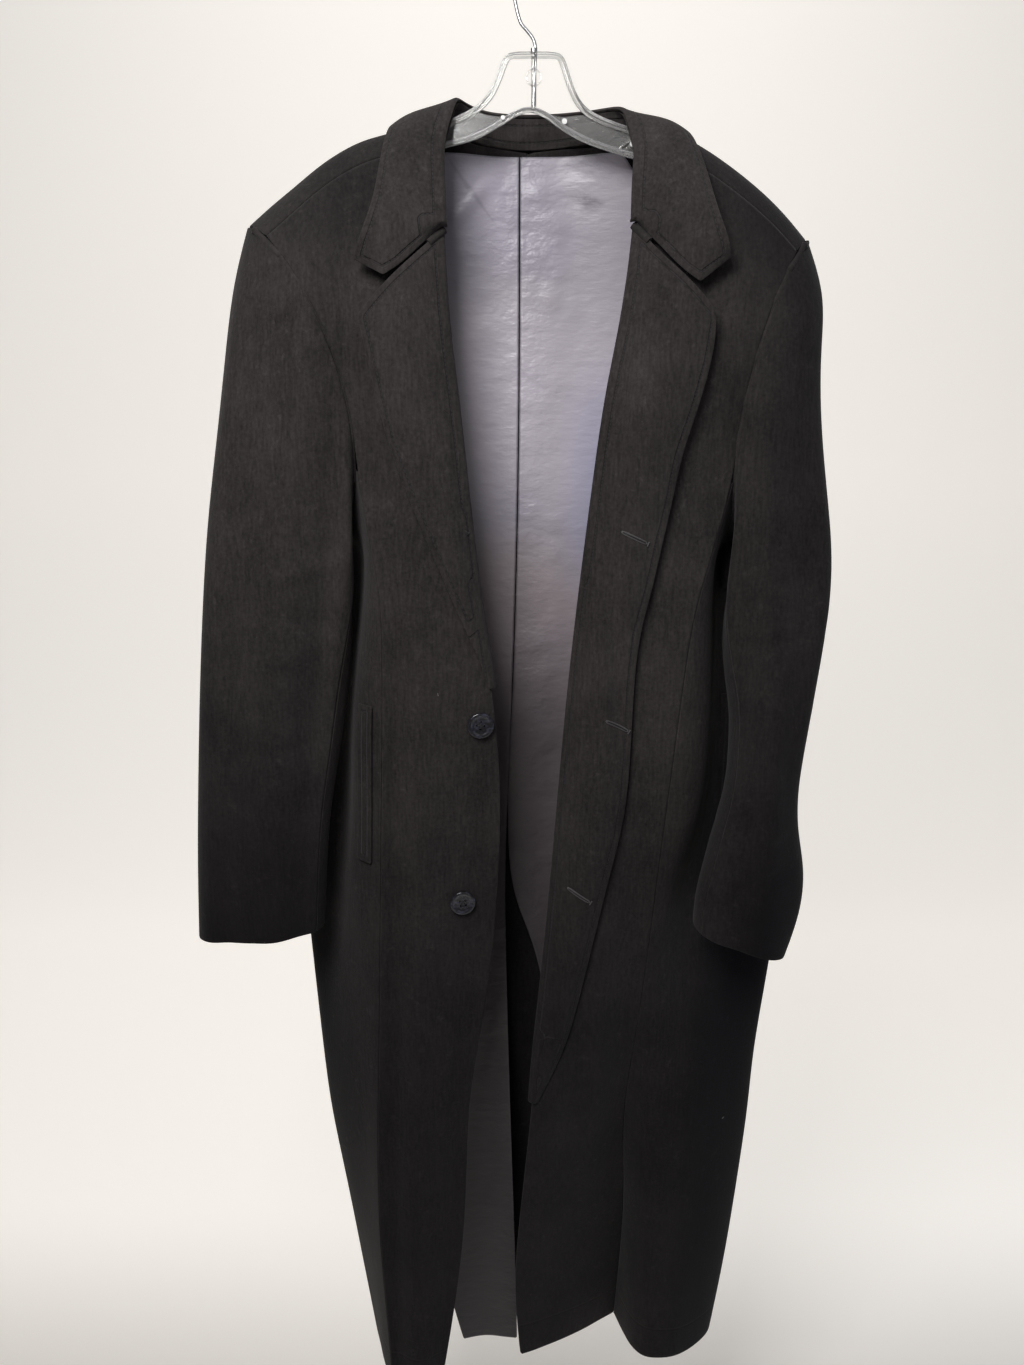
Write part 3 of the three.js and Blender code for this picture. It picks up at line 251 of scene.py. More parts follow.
def wool_finish(name, stitched):
    cloth = bpy.context.scene.overcoat_cloth
    wool = Finish(name, Sheen_Weight=0.05, Sheen_Roughness=0.5, Specular_IOR_Level=0.12)
    nap = wool.grain((420, 420, 60), 3, 0.6)
    streak = wool.grain((46, 46, 5), 2)
    blotch = wool.noise(14.0, 3)
    fibre = wool.noise(1500.0, 2)
    weave = wool.grain((900, 900, 700), 1)
    rub = wool.noise(90.0, 4, roughness=0.7).between(0.56, 0.74)
    lint = wool.noise(620.0, 1).between(0.79, 0.83) * wool.noise(30.0, 1).between(0.5, 0.7)
    speck = wool.noise(330.0, 3, roughness=0.65)
    light = nap * 0.35 + streak * 0.16 + blotch * 0.34 + speck * 0.36 - 0.23 + rub * 0.12
    tone = wool.mix(light.between(0.05, 0.85), cloth.wool_dark, cloth.wool_light)
    down, across = wool.axis("Z"), wool.axis("X")
    # Painted shade: the wool is darkened towards the hem, over the +x sleeve and side, and over both sleeves
    # and sides lower down.
    lower = down.between(-0.42, -0.8)
    deep = down.between(-0.58, -1.1) * 0.62 + across.between(0.14, 0.24) * (lower * 0.18 + 0.42)
    deep = deep + across.between(-0.16, -0.24) * lower * 0.42
    # Plain wool only: painted shade over the shoulders, above the shoulder line.
    if not stitched:
        deep = deep + down.between(SHOULDER_LINE - 0.10, SHOULDER_LINE) * 0.42
    tone = wool.mix(deep, tone, PAINTED_SHADE_WOOL)
    tone = wool.mix(lint * 0.35, tone, (0.16, 0.15, 0.15))
    edge = wool.attribute("edge")
    worn = edge.between(1.6 * MM, 0.2 * MM) * 0.12
    tone = wool.mix(worn, tone, (0.060, 0.053, 0.052))
    height = nap * 0.5 + fibre * 0.35 + weave * 0.25 + rub * 0.3
    if stitched:
        turns = wool.attribute("run") * (2 * math.pi / STITCH_LENGTH)
        off_line = abs(edge - cloth.stitch_inset)
        groove = off_line.between(1.5 * MM, 0.2 * MM)
        dash = wool.node("ShaderNodeMath", {"operation": "SINE"}, {0: turns})
        stitch = off_line.between(0.7 * MM, 0.3 * MM) * (dash > -0.4)
        # Painted shade: the groove along the stitch line is darkened, besides being sunk by the bump.
        tone = wool.mix(groove * 0.45, tone, cloth.wool_dark)
        tone = wool.mix(stitch * 0.5, tone, (0.045, 0.04, 0.045))
        height = height - groove * 1.6 + stitch * 0.7
    else:
        height = height - abs(down - HEM_LINE).between(2.2 * MM, 0.3 * MM) * 0.5
    wool.colour(tone)
    wool.roughness(0.86 - rub * 0.12 + blotch * 0.06)
    wool.bump(height, 0.7 * MM, 0.8)
    return wool.material


def satin_finish(name):
    cloth = bpy.context.scene.overcoat_cloth
    satin = Finish(name, Sheen_Weight=0.12, Sheen_Roughness=0.3, Specular_IOR_Level=0.45)
    thread = satin.grain((1500, 900, 90), 1)
    across = satin.grain((70, 70, 1300), 1)
    cloud = satin.noise(9.0, 3)
    crumple = satin.grain((24, 24, 34), 4, 0.55)
    fine = satin.grain((60, 60, 130), 3, 0.5)
    tint = satin.mix(cloud.between(0.25, 0.75), cloth.satin, (0.35, 0.33, 0.40))
    tint = satin.mix(thread * 0.12 + across * 0.10, tint, (0.20, 0.18, 0.23))
    down, side = satin.axis("Z"), satin.axis("X")
    mark = abs(side - 0.050) / 0.022 + abs(down + 0.187 + (side - 0.05) * 0.25) / 0.009
    mark = mark.between(1.3, 0.1)
    tint = satin.mix(mark * satin.noise(70.0, 4).between(0.35, 0.65) * 0.6, tint, (0.09, 0.08, 0.10))
    # Painted shade along a crease near the top of the lining, at about x -57 mm.
    fold = abs(side + 0.057 + (down + 0.179) * 0.8) / 0.004 + abs(down + 0.179) / 0.035
    tint = satin.mix(fold.between(1.3, 0.2) * 0.3, tint, (0.12, 0.11, 0.13))
    warm = (down + cloud * 0.06).between(-0.44, -0.54) * 0.5
    # Painted light: a bluish tint of light on the +x side of the middle, from about z -0.30 down to -0.58.
    blue = down.between(-0.30, -0.44) * down.between(-0.58, -0.48) * side.between(0.02, 0.07)
    # Painted highlight: a lighter band across the lining from about z -0.22 to -0.52.
    painted_highlight = down.between(-0.22, -0.36) * down.between(-0.52, -0.42)
    tint = satin.mix(painted_highlight * 0.7, tint, (0.56, 0.52, 0.60))
    # Painted shade: the lining darkens towards the bottom, strongly from z -0.47 to -0.70 and a little more
    # below -0.74.
    low = (down + cloud * 0.05).between(-0.47, -0.70) * 0.7 + down.between(-0.74, -1.25) * 0.27
    tint = satin.mix(warm, tint, (0.36, 0.29, 0.285))
    tint = satin.mix(blue * 0.55, tint, (0.32, 0.33, 0.52))
    tint = satin.mix(low, tint, (0.022, 0.019, 0.022))
    seam = satin.attribute("edge").between(2.2 * MM, 0.6 * MM)
    tint = satin.mix(seam * 0.55, tint, (0.07, 0.065, 0.08))
    satin.colour(tint)
    satin.roughness(0.28 + cloud * 0.12 + thread * 0.05)
    pucker = abs(side + 0.004).between(0.045, 0.004) * 1.6 + cloud.between(0.5, 0.75) * 0.8 + 0.35
    satin.bump(crumple * pucker + fine * 0.35 + thread * 0.03 + across * 0.03, 3.0 * MM, 0.75)
    return satin.material


def horn_finish(name):
    trims = bpy.context.scene.overcoat_trims
    horn = Finish(name, Coat_Weight=0.8, Coat_Roughness=0.1, Specular_IOR_Level=0.35)
    swirl = horn.grain((160, 160, 384), 4, 0.6)
    scratch = horn.grain((2600, 2600, 300), 2)
    horn.colour(horn.mix(swirl.between(0.45, 0.7), trims.horn, (0.035, 0.036, 0.060)))
    horn.roughness(0.22 + scratch * 0.15)
    horn.bump(scratch, 0.05 * MM, 0.4)
    return horn.material


def thread_finish(name, colour):
    thread = Finish(name, Sheen_Weight=0.3, Sheen_Roughness=0.4)
    ply = thread.grain((2400, 2400, 2400), 2)
    thread.colour(thread.mix(ply, colour, [0.45 * c for c in colour]))
    thread.roughness(0.55 + ply * 0.2)
    thread.bump(ply, 0.15 * MM, 0.8)
    return thread.material


def clear_finish(name, transmission, base_roughness):
    clear = Finish(name, Transmission_Weight=transmission, IOR=1.5, Specular_IOR_Level=0.8,
                   Coat_Weight=1.0, Coat_Roughness=0.04)
    haze = clear.noise(120.0, 3, roughness=0.6)
    scuff = clear.grain((60, 60, 900), 3, 0.6).between(0.58, 0.72)
    clear.colour(clear.mix(haze, (1.0, 1.0, 0.99), (0.93, 0.94, 0.94)))
    clear.roughness(base_roughness + scuff * 0.10 + haze * 0.03)
    clear.bump(haze + scuff * 0.5, 0.12 * MM, 0.5)
    return clear.material


def chrome_finish(name):
    chrome = Finish(name, Metallic=1.0)
    drawn = chrome.grain((900, 900, 900), 2)
    dull = chrome.noise(240.0, 3, roughness=0.6).between(0.45, 0.75)
    chrome.colour(chrome.mix(dull, (0.50, 0.51, 0.53), (0.30, 0.30, 0.32)))
    chrome.roughness(0.26 + dull * 0.16)
    chrome.bump(drawn, 0.05 * MM, 0.4)
    return chrome.material


# ---- modelling tools
def enter(mode):
    bpy.ops.object.mode_set(mode=mode)


def pick(obj):
    """Makes one object the only selected one."""
    bpy.ops.object.select_all(action="DESELECT")
    obj.select_set(True)
    bpy.context.view_layer.objects.active = obj


def add_object(name, data):
    obj = bpy.data.objects.new(name, data)
    bpy.context.scene.collection.objects.link(obj)
    return obj


def primitive(kind, **settings):
    """Adds one of Blender's plain meshes."""
    bpy.ops.object.select_all(action="DESELECT")
    getattr(bpy.ops.mesh, f"primitive_{kind}_add")(**settings)
    return bpy.context.object


def tree_of(places):
    tree = KDTree(len(places))
    for k, place in enumerate(places):
        tree.insert(place, k)
    tree.balance()
    return tree


def apply_modifier(obj, kind, **settings):
    pick(obj)
    modifier = obj.modifiers.new(kind.lower(), kind)
    for name, value in settings.items():
        setattr(modifier, name, value)
    bpy.ops.object.modifier_apply(modifier=modifier.name)


def positions(mesh):
    flat = np.empty(len(mesh.vertices) * 3, np.float32)
    mesh.vertices.foreach_get("co", flat)
    return flat.reshape(-1, 3).astype(float)


def put_positions(mesh, points):
    mesh.vertices.foreach_set("co", points.astype(np.float32).ravel())
    mesh.update()


def dress(obj, material, node_names=(), smooth_degrees=None):
    """Gives a finished piece its material, its shading and its body, and hides the nodes that it replaces."""
    obj.data.materials.clear()
    obj.data.materials.append(material)
    pick(obj)
    if smooth_degrees is None:
        bpy.ops.object.shade_smooth()
    else:
        bpy.ops.object.shade_smooth_by_angle(angle=math.radians(smooth_degrees))
    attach(obj, "root")
    if node_names:
        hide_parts(*node_names)
    return obj


def smoothstep(low, high, value):
    share = np.clip((value - low) / (high - low), 0, 1)
    return share * share * (3 - 2 * share)


def fold_height(folds, x, z):
    """The height of the running folds at places given in mm."""
    total = np.zeros_like(x)
    for rows in folds:
        heights, across, widths, tops = (np.array(column, float) for column in zip(*rows[::-1]))
        inside = (z >= heights[0] - 5) & (z <= heights[-1])
        centre, width = np.interp(z, heights, across), np.interp(z, heights, widths)
        total += inside * np.interp(z, heights, tops) * np.exp(-((x - centre) / width) ** 2)
    return total


def crease_height(creases, x, z):
    """The height of short cross creases at places given in mm."""
    total = np.zeros_like(x)
    for middle, across, length, breadth, slope, top in creases:
        along = (x - across) / length
        off = (z - middle - slope * (x - across)) / breadth
        total += top * np.exp(-along ** 2 - off ** 2)
    return total


def drift(x, z, seed, long_wave=420.0, short_wave=95.0):
    """Slow unevenness of hanging cloth, between about -1 and 1."""
    draw = np.random.default_rng(seed)
    total = np.zeros_like(x)
    for _ in range(7):
        down = 2 * math.pi / (long_wave * draw.uniform(0.6, 1.6))
        across = 2 * math.pi / (short_wave * draw.uniform(0.7, 2.0))
        total += np.sin(x * across + z * down * draw.choice([-1, 1]) + draw.uniform(0, 2 * math.pi))
    return total / 4.0


def body_shift(points):
    """How far the body's cloth moves to the front or back, in metres."""
    x, y, z = (points / MM).T
    front = smoothstep(8, -34, y)
    below_neck = smoothstep(-165, -260, z)
    ahead = fold_height(FRONT_FOLDS, x, z) + 0.9 * drift(x, z, 3)
    behind = fold_height(BACK_FOLDS, x, z) + 0.8 * drift(x, z, 5, 500, 130)
    depth = bpy.context.scene.overcoat_cloth.fold_depth
    return -MM * depth * below_neck * (front * ahead + (1 - front) * behind * smoothstep(20, 34, y))


FACING_SINK = 2.4 * MM


def facing_shift(points):
    """The body's folds, with each facing's lower end sunk into the front that it is sewn to."""
    x, _, z = points.T
    right = (x < -0.005) * smoothstep(-0.585, -0.655, z)
    left = (x >= -0.005) * smoothstep(-0.80, -0.95, z)
    return body_shift(points) + FACING_SINK * (right + left)


def sleeve_shift(points):
    x, y, z = (points / MM).T
    middle = np.interp(-z, [250, 500, 700, 900], [-8, -38, -48, -56])
    front = smoothstep(0, 18, middle - y) * smoothstep(-225, -300, z)
    ridges = fold_height(SLEEVE_FOLDS, x, z) + crease_height(SLEEVE_CREASES, x, z) + 0.8 * drift(x, z, 11)
    depth = bpy.context.scene.overcoat_cloth.fold_depth
    return -MM * depth * front * (1.25 * ridges + 1.2)


def lining_shift(points):
    x, _, z = (points / MM).T
    pulls = 2.2 * crease_height(LINING_CREASES, x, z)
    return -MM * smoothstep(-150, -170, z) * np.clip(pulls + 0.5 + 0.5 * drift(x, z, 17, 260, 70), 0, 3.4)


RIM = 2.9 * MM            # a wall's rim faces are no wider than the cloth is thick
CORNER = math.radians(50)
MERGE = 1e-5
SEAM_REACH = 1.6 * MM     # panels are sewn together where they lie nearer than this
SEWN_CREASE, FREE_CREASE, CORNER_CREASE, CORNER_POINT = 1.0, 0.72, 0.9, 0.95
SAMPLE_STEP = 1.5 * MM
LEVELS = 3


def rim_edges(mesh):
    """Edges between a rim face and a cloth face, and the short corner edges across a rim."""
    narrow = [min((mesh.vertices[a].co - mesh.vertices[b].co).length for a, b in face.edge_keys) < RIM
              for face in mesh.polygons]
    beside = {}
    for face in mesh.polygons:
        for key in face.edge_keys:
            beside.setdefault(key, []).append(face.index)
    borders, corners = [], []
    for key, faces in beside.items():
        if len(faces) != 2:
            continue
        first, second = (mesh.polygons[k] for k in faces)
        if narrow[first.index] != narrow[second.index]:
            borders.append(key)
        elif narrow[first.index] and first.normal.angle(second.normal) > CORNER:
            corners.append(key)
    return borders, corners


def merged_copy(node_name):
    """A copy of a node's mesh with its loose triangles merged and paired into quads."""
    obj = add_object(f"{node_name}_cloth", NODES[node_name].data.copy())
    pick(obj)
    enter("EDIT")
    bpy.ops.mesh.select_all(action="SELECT")
    bpy.ops.mesh.remove_doubles(threshold=MERGE)
    bpy.ops.mesh.tris_convert_to_quads(face_threshold=math.radians(80), shape_threshold=math.pi)
    bpy.ops.mesh.select_mode(type="EDGE")
    bpy.ops.mesh.select_all(action="DESELECT")
    enter("OBJECT")
    mesh = obj.data
    sides = {}
    for face in mesh.polygons:
        for key in face.edge_keys:
            sides.setdefault(key, []).append(len(face.vertices))
    for edge in mesh.edges:
        edge.select = sides[edge.key] == [3, 3]
    enter("EDIT")
    bpy.ops.mesh.dissolve_edges(use_verts=False)
    enter("OBJECT")
    return obj


def store(mesh, name, values):
    attribute = mesh.attributes.new(name, "FLOAT", "POINT")
    attribute.data.foreach_set("value", values.astype(np.float32))


def measure_edges(mesh, samples):
    """Stores each point's distance to the nearest rim, and a length that grows along that rim."""
    tree = tree_of(samples)
    found = [tree.find(p) for p in positions(mesh)]
    store(mesh, "edge", np.array([distance for _, _, distance in found]))
    store(mesh, "run", np.array([place.z * 1.3 + place.x for place in (samples[k] for _, k, _ in found)]))


def cloth_piece(node_name, material, shift):
    """Turns a panel's solid into smooth cloth with folds."""
    obj = merged_copy(node_name)
    mesh = obj.data
    borders, corners = rim_edges(mesh)
    crease = mesh.attributes.new("crease_edge", "FLOAT", "EDGE")
    index = {edge.key: edge.index for edge in mesh.edges}
    sewn = [any(CORNER_PANELS[k] != node_name for _, k, _ in CORNERS.find_range(v.co, SEAM_REACH))
            for v in mesh.vertices]
    samples = []
    RIMS[node_name] = [mesh.vertices[v].co.copy() for v in {v for key in borders for v in key}]
    for a, b in borders:
        crease.data[index[(a, b)]].value = SEWN_CREASE if sewn[a] and sewn[b] else FREE_CREASE
        start, end = mesh.vertices[a].co, mesh.vertices[b].co
        steps = max(2, int((end - start).length / SAMPLE_STEP))
        samples += [start.lerp(end, k / steps) for k in range(steps)]
    sharp = mesh.attributes.new("crease_vert", "FLOAT", "POINT")
    for key in corners:
        crease.data[index[key]].value = CORNER_CREASE
        for vertex in key:
            sharp.data[vertex].value = CORNER_POINT
    apply_modifier(obj, "SUBSURF", levels=LEVELS, render_levels=LEVELS)
    measure_edges(mesh, samples)
    points = positions(obj.data)
    points[:, 1] += shift(points)
    put_positions(obj.data, points)
    return dress(obj, material, [node_name])


def curve_piece(name, points, radius, cyclic=False, resolution=6):
    """A round rod along a smooth line near the points, made a mesh."""
    data = bpy.data.curves.new(name, "CURVE")
    data.dimensions = "3D"
    data.bevel_depth = radius
    data.bevel_resolution = resolution
    data.use_fill_caps = not cyclic
    spline = data.splines.new("NURBS")
    spline.points.add(len(points) - 1)
    for target, place in zip(spline.points, points):
        target.co = (*place, 1)
    spline.use_cyclic_u = cyclic
    spline.order_u = 3
    spline.use_endpoint_u = not cyclic
    spline.resolution_u = 6
    pick(add_object(name, data))
    bpy.ops.object.convert(target="MESH")
    return bpy.context.object


def join(parts, name):
    pick(parts[0])
    for part in parts:
        part.select_set(True)
    bpy.ops.object.join()
    obj = bpy.context.object
    obj.name = obj.data.name = name
    return obj


def place_mesh(obj, origin, directions=np.eye(3)):
    """Moves a mesh to an origin, with its own X, Y and Z along the given directions."""
    put_positions(obj.data, positions(obj.data) @ np.array(directions) + np.array(origin))


def merge_doubles(obj):
    pick(obj)
    enter("EDIT")
    bpy.ops.mesh.select_all(action="SELECT")
    bpy.ops.mesh.remove_doubles(threshold=MERGE)
    bpy.ops.mesh.normals_make_consistent(inside=False)
    enter("OBJECT")


# ---- cloth panels
# By group, each panel's flat width, flat length and flat area in metres, and what it hangs from or lies on.
PANELS = {
    "body": {
        "front_right": (0.17, 1.31, 0.128, ["hanger", "back_right"]),
        "side_right": (0.20, 1.03, 0.155, ["front_right", "back_right"]),
        "back_right": (0.27, 1.33, 0.246, ["hanger"]),
        "front_left": (0.21, 1.31, 0.146, ["hanger", "back_left"]),
        "side_left": (0.26, 1.02, 0.200, ["front_left", "back_left"]),
        "back_left": (0.29, 1.33, 0.318, ["hanger"])},
    "sleeves": {
        "sleeve_top_right": (0.30, 0.70, 0.160, ["front_right", "back_right"]),
        "sleeve_under_right": (0.10, 0.50, 0.040, ["side_right", "sleeve_top_right"]),
        "sleeve_top_left": (0.25, 0.70, 0.120, ["front_left", "back_left"]),
        "sleeve_under_left": (0.09, 0.49, 0.0325, ["side_left", "sleeve_top_left"])},
    "facings": {
        "facing_right": (0.13, 0.42, 0.029, ["front_right"]),
        "facing_left": (0.14, 0.88, 0.071, ["front_left"])},
    "welts": {
        "welt_right": (0.025, 0.165, 0.0033, ["side_right"]),
        "welt_left": (0.036, 0.165, 0.0048, ["side_left"])},
    "collar": {
        "collar_leaf": (0.64, 0.08, 0.033, ["collar_stand", "facing_right", "facing_left"]),
        "collar_stand": (0.36, 0.04, 0.0053, ["back_right", "back_left"])},
    "lining": {
        "lining_right": (0.18, 1.30, 0.159, ["back_right"]),
        "lining_left": (0.21, 1.30, 0.176, ["back_left"])},
}


def corners_of_all():
    """Every panel's corners in one tree, and the name of the panel that each is on."""
    names, places = [], []
    for node_name in (name for group in PANELS.values() for name in group):
        for point in {tuple(np.round(p, 6)) for p in positions(NODES[node_name].data)}:
            names.append(node_name)
            places.append(point)
    return tree_of(places), names


CORNERS, CORNER_PANELS = corners_of_all()
MADE = {}     # the finished panels, by the names of their nodes
RIMS = {}     # the places along each panel's rims before its folds


def finish_once(name, maker, *arguments):
    """A material by name, made the first time that it is asked for."""
    return bpy.data.materials.get(name) or maker(name, *arguments)


def plain_wool():
    return finish_once("wool", wool_finish, False)


def stitched_wool():
    return finish_once("wool_stitched", wool_finish, True)


def dark_thread():
    return finish_once("dark_thread", thread_finish, (0.014, 0.012, 0.016))


def sew(group, material, shift):
    for node_name, (width, length, area, rests_on) in PANELS[group].items():
        obj = cloth_piece(node_name, material, shift)
        MADE[node_name] = obj


class OVERCOAT_OT_body(Operator):
    """Fronts, side panels and back panels, with their hanging folds"""
    bl_idname = "overcoat.body"
    bl_label = "Body"

    def execute(self, context):
        sew("body", plain_wool(), body_shift)
        return {"FINISHED"}


class OVERCOAT_OT_sleeves(Operator):
    """Top and under sleeves, with folds and elbow creases"""
    bl_idname = "overcoat.sleeves"
    bl_label = "Sleeves"

    def execute(self, context):
        sew("sleeves", plain_wool(), sleeve_shift)
        return {"FINISHED"}


# The pad below the left armhole, between the side panel and the sleeve, in metres
UNDERARM = [(0.188, 0.004, -0.462), (0.192, 0.008, -0.485), (0.194, 0.012, -0.510), (0.191, 0.014, -0.545)]
UNDERARM_RADIUS = 7 * MM
UNDERARM_Z = -0.505      # an armhole's rims are above this
ROLL_RADIUS = 2.9 * MM
ROLL_INSET = 3.2 * MM
ROLL_REACH = 14 * MM


def armhole_ring(side):
    """Points round an armhole, between the sleeve's head and the body, just inside the cloth."""
    def rims(group):
        return [place for name in PANELS[group] if name.endswith(side) for place in RIMS[name]
                if place.z > UNDERARM_Z]

    body = rims("body")
    seam = []
    for place in rims("sleeves"):
        nearest = min(body, key=lambda other: (other - place).length)
        if (nearest - place).length < ROLL_REACH:
            seam.append((place + nearest) / 2)
    centre = sum(seam, Vector()) / len(seam)
    seam.sort(key=lambda p: math.atan2(p.z - centre.z, p.x - centre.x))
    return [place + (centre - place).normalized() * ROLL_INSET for place in seam]


class OVERCOAT_OT_head_rolls(Operator):
    """The wadding that is sewn inside each armhole seam"""
    bl_idname = "overcoat.head_rolls"
    bl_label = "Sleeve head rolls"

    def execute(self, context):
        pads = [curve_piece(f"head_roll_{side}", armhole_ring(side), ROLL_RADIUS, cyclic=True)
                for side in ("right", "left")]
        pads.append(curve_piece("underarm_shield", UNDERARM, UNDERARM_RADIUS))
        for pad in pads:
            dress(pad, plain_wool())
        return {"FINISHED"}


class OVERCOAT_OT_facings(Operator):
    """Facings turned out as lapels, stitched along their edges"""
    bl_idname = "overcoat.facings"
    bl_label = "Facings"

    def execute(self, context):
        sew("facings", stitched_wool(), facing_shift)
        return {"FINISHED"}


class OVERCOAT_OT_collar(Operator):
    """Collar leaf and stand"""
    bl_idname = "overcoat.collar"
    bl_label = "Collar"

    def execute(self, context):
        sew("collar", stitched_wool(), body_shift)
        return {"FINISHED"}


# Where each gorge opens at the front: side, x, z and the gorge's slope, in mm.
GORGES = [("right", -78, -225, -0.94), ("left", 86, -221.5, -1.1)]
TACK_DEPTH = 7.2 * MM
TACK_RADIUS = 3.6 * MM


class OVERCOAT_OT_gorge_tacks(Operator):
    """The seam allowance inside each gorge, where the collar is sewn to the lapel"""
    bl_idname = "overcoat.gorge_tacks"
    bl_label = "Gorge tacks"

    def execute(self, context):
        for side, x, z, slope in GORGES:
            way = math.copysign(1, x)
            line = []
            for out in (0, 4, 8, 13):
                beside = out + 5      # where there is cloth, a little outward and below
                place, _ = surface_at([f"facing_{side}", f"front_{side}"],
                                      x + way * beside, z + slope * beside - 8)
                line.append(((x + way * out) * MM, place.y + TACK_DEPTH, (z + slope * out) * MM))
            dress(curve_piece(f"gorge_tack_{side}", line, TACK_RADIUS), plain_wool())
        return {"FINISHED"}


class OVERCOAT_OT_welts(Operator):
    """Welts of the two slash pockets"""
    bl_idname = "overcoat.welts"
    bl_label = "Welts"

    def execute(self, context):
        sew("welts", stitched_wool(), body_shift)
        return {"FINISHED"}


class OVERCOAT_OT_lining(Operator):
    """Satin back lining, with the pulls beside its pleat"""
    bl_idname = "overcoat.lining"
    bl_label = "Lining"

    def execute(self, context):
        sew("lining", finish_once("grey_satin", satin_finish), lining_shift)
        return {"FINISHED"}


# ---- buttons
UNDERSIDE_RADIUS = 10.5 * MM
# From the underside's edge, over the rim and into the dish: steps out and up, in mm.
BUTTON_PROFILE = [(1.4, 0.7), (0.5, 0.8), (0.1, 1.1), (-0.2, 0.9), (-0.7, 0.5), (-1.1, 0.1), (-1.0, -0.2),
                  (-0.9, -0.6), (-1.0, -0.4), (-1.6, -0.1)]
HOLE_SPREAD = 2.4 * MM
HOLE_RADIUS = 1.1 * MM
SHANK = 0.9 * MM      # radius of the thread's turns under the button


def button_model():
    """A turned button with a raised rim and four holes, its face up along Z."""
    obj = primitive("circle", vertices=64, radius=UNDERSIDE_RADIUS, fill_type="NGON")
    enter("EDIT")
    bpy.ops.mesh.select_all(action="SELECT")
    radius = UNDERSIDE_RADIUS
    for out, up in BUTTON_PROFILE:
        grown = radius + out * MM
        bpy.ops.mesh.extrude_region_move(TRANSFORM_OT_translate={"value": (0, 0, up * MM)})
        bpy.ops.transform.resize(value=(grown / radius, grown / radius, 1))
        radius = grown
    enter("OBJECT")
    drills = []
    for x in (-HOLE_SPREAD, HOLE_SPREAD):
        for y in (-HOLE_SPREAD, HOLE_SPREAD):
            drills.append(primitive("cylinder", vertices=24, radius=HOLE_RADIUS, depth=20 * MM))
            place_mesh(drills[-1], (x, y, 0))
    cutter = join(drills, "drills")
    apply_modifier(obj, "BOOLEAN", operation="DIFFERENCE", object=cutter, solver="EXACT")
    bpy.data.objects.remove(cutter)
    apply_modifier(obj, "BEVEL", width=0.18 * MM, segments=2, limit_method="ANGLE",
                   angle_limit=math.radians(40))
    return obj


def button_threads(radius):
    """Two crossed bars of thread through the four holes, and the shank under the button."""
    parts = []
    for sign in (-1, 1):
        for lane in (-0.35, 0.0, 0.35):
            bar = []
            aside = lane * MM * 0.7
            for k in range(9):
                reach = HOLE_SPREAD * (k / 4 - 1)
                rise = 2.75 * MM + 0.75 * MM * math.sin(math.pi * k / 8) ** 0.5 if 0 < k < 8 else 0.6 * MM
                bar.append((reach - sign * aside, sign * reach + aside, rise + sign * 0.1 * MM))
            parts.append(curve_piece("bar", bar, radius * 0.62, resolution=3))
    shank = [(SHANK * math.cos(k * 0.9), SHANK * math.sin(k * 0.9), k * 0.045 * MM - SHANK)
             for k in range(24)]
    parts.append(curve_piece("shank", shank, radius * 0.9, resolution=3))
    return join(parts, "threads")


def button_place(node_name):
    """Centre of a button's underside, and its directions: two across and one out of the coat."""
    points = positions(NODES[node_name].data)
    centre = (points.min(0) + points.max(0)) / 2
    centred = points - points.mean(0)
    _, directions = np.linalg.eigh(centred.T @ centred)
    out = directions[:, 0] * (-1 if directions[1, 0] > 0 else 1)
    across = np.array([1.0, 0, 0]) - out * out[0]
    across /= np.linalg.norm(across)
    up = np.cross(out, across)
    low = ((points - centre) @ out).min()
    return centre + out * low, (across, up, out)


class OVERCOAT_OT_buttons(Operator):
    """Three horn buttons with four holes, sewn on with dark thread"""
    bl_idname = "overcoat.buttons"
    bl_label = "Buttons"

    def execute(self, context):
        model, threads = button_model(), button_threads(context.scene.overcoat_trims.thread)
        horn = finish_once("dark_horn", horn_finish)
        for node_name, turn in (("button_top", 20), ("button_middle", 38), ("button_lower", 8)):
            foot, (across, up, out) = button_place(node_name)
            foot[1] += body_shift(foot[None])[0]
            angle = math.radians(turn)
            first = across * math.cos(angle) + up * math.sin(angle)
            for source, kind, finish, replaced in ((model, "horn", horn, [node_name]),
                                                   (threads, "thread", dark_thread(), [])):
                obj = add_object(f"{node_name}_{kind}", source.data.copy())
                place_mesh(obj, foot, (first, np.cross(out, first), out))
                dress(obj, finish, replaced, 35)
        for source in (model, threads):
            bpy.data.objects.remove(source)
        return {"FINISHED"}


# ---- buttonholes and thread marks
# Name, x and z of the middle in mm, tilt in degrees, length in mm: the eyelet is nearer the front edge.
BUTTONHOLES = [("top", 90, -486, -25, 25), ("middle", 79, -661, -28, 24), ("lower", 46, -833, -32, 25)]
EYELET = 1.0      # radius of a buttonhole's round end, in mm
PURLS = 44
LEFT_FRONT, RIGHT_FRONT = ["facing_left", "front_left"], ["facing_right", "front_right"]


def surface_at(node_names, x, z):
    """The front-most point of the named panels at a place in mm, and the direction out of it."""
    best = None
    for name in node_names:
        hit, place, normal, _ = MADE[name].ray_cast(Vector((x * MM, -0.4, z * MM)), Vector((0, 1, 0)))
        if hit and (best is None or place.y < best[0].y):
            best = (place.copy(), normal.copy())
    if best is None:
        raise RuntimeError(f"no cloth at {x:.0f}, {z:.0f} mm")
    return best


def on_cloth(node_names, row, u, v, lift):
    """A point on the named panels, in mm along and across a row's line, lifted off the cloth."""
    x, z, degrees = row
    angle = math.radians(degrees)
    place, normal = surface_at(node_names, x + u * math.cos(angle) - v * math.sin(angle),
                               z + u * math.sin(angle) + v * math.cos(angle))
    return place + normal * lift * MM


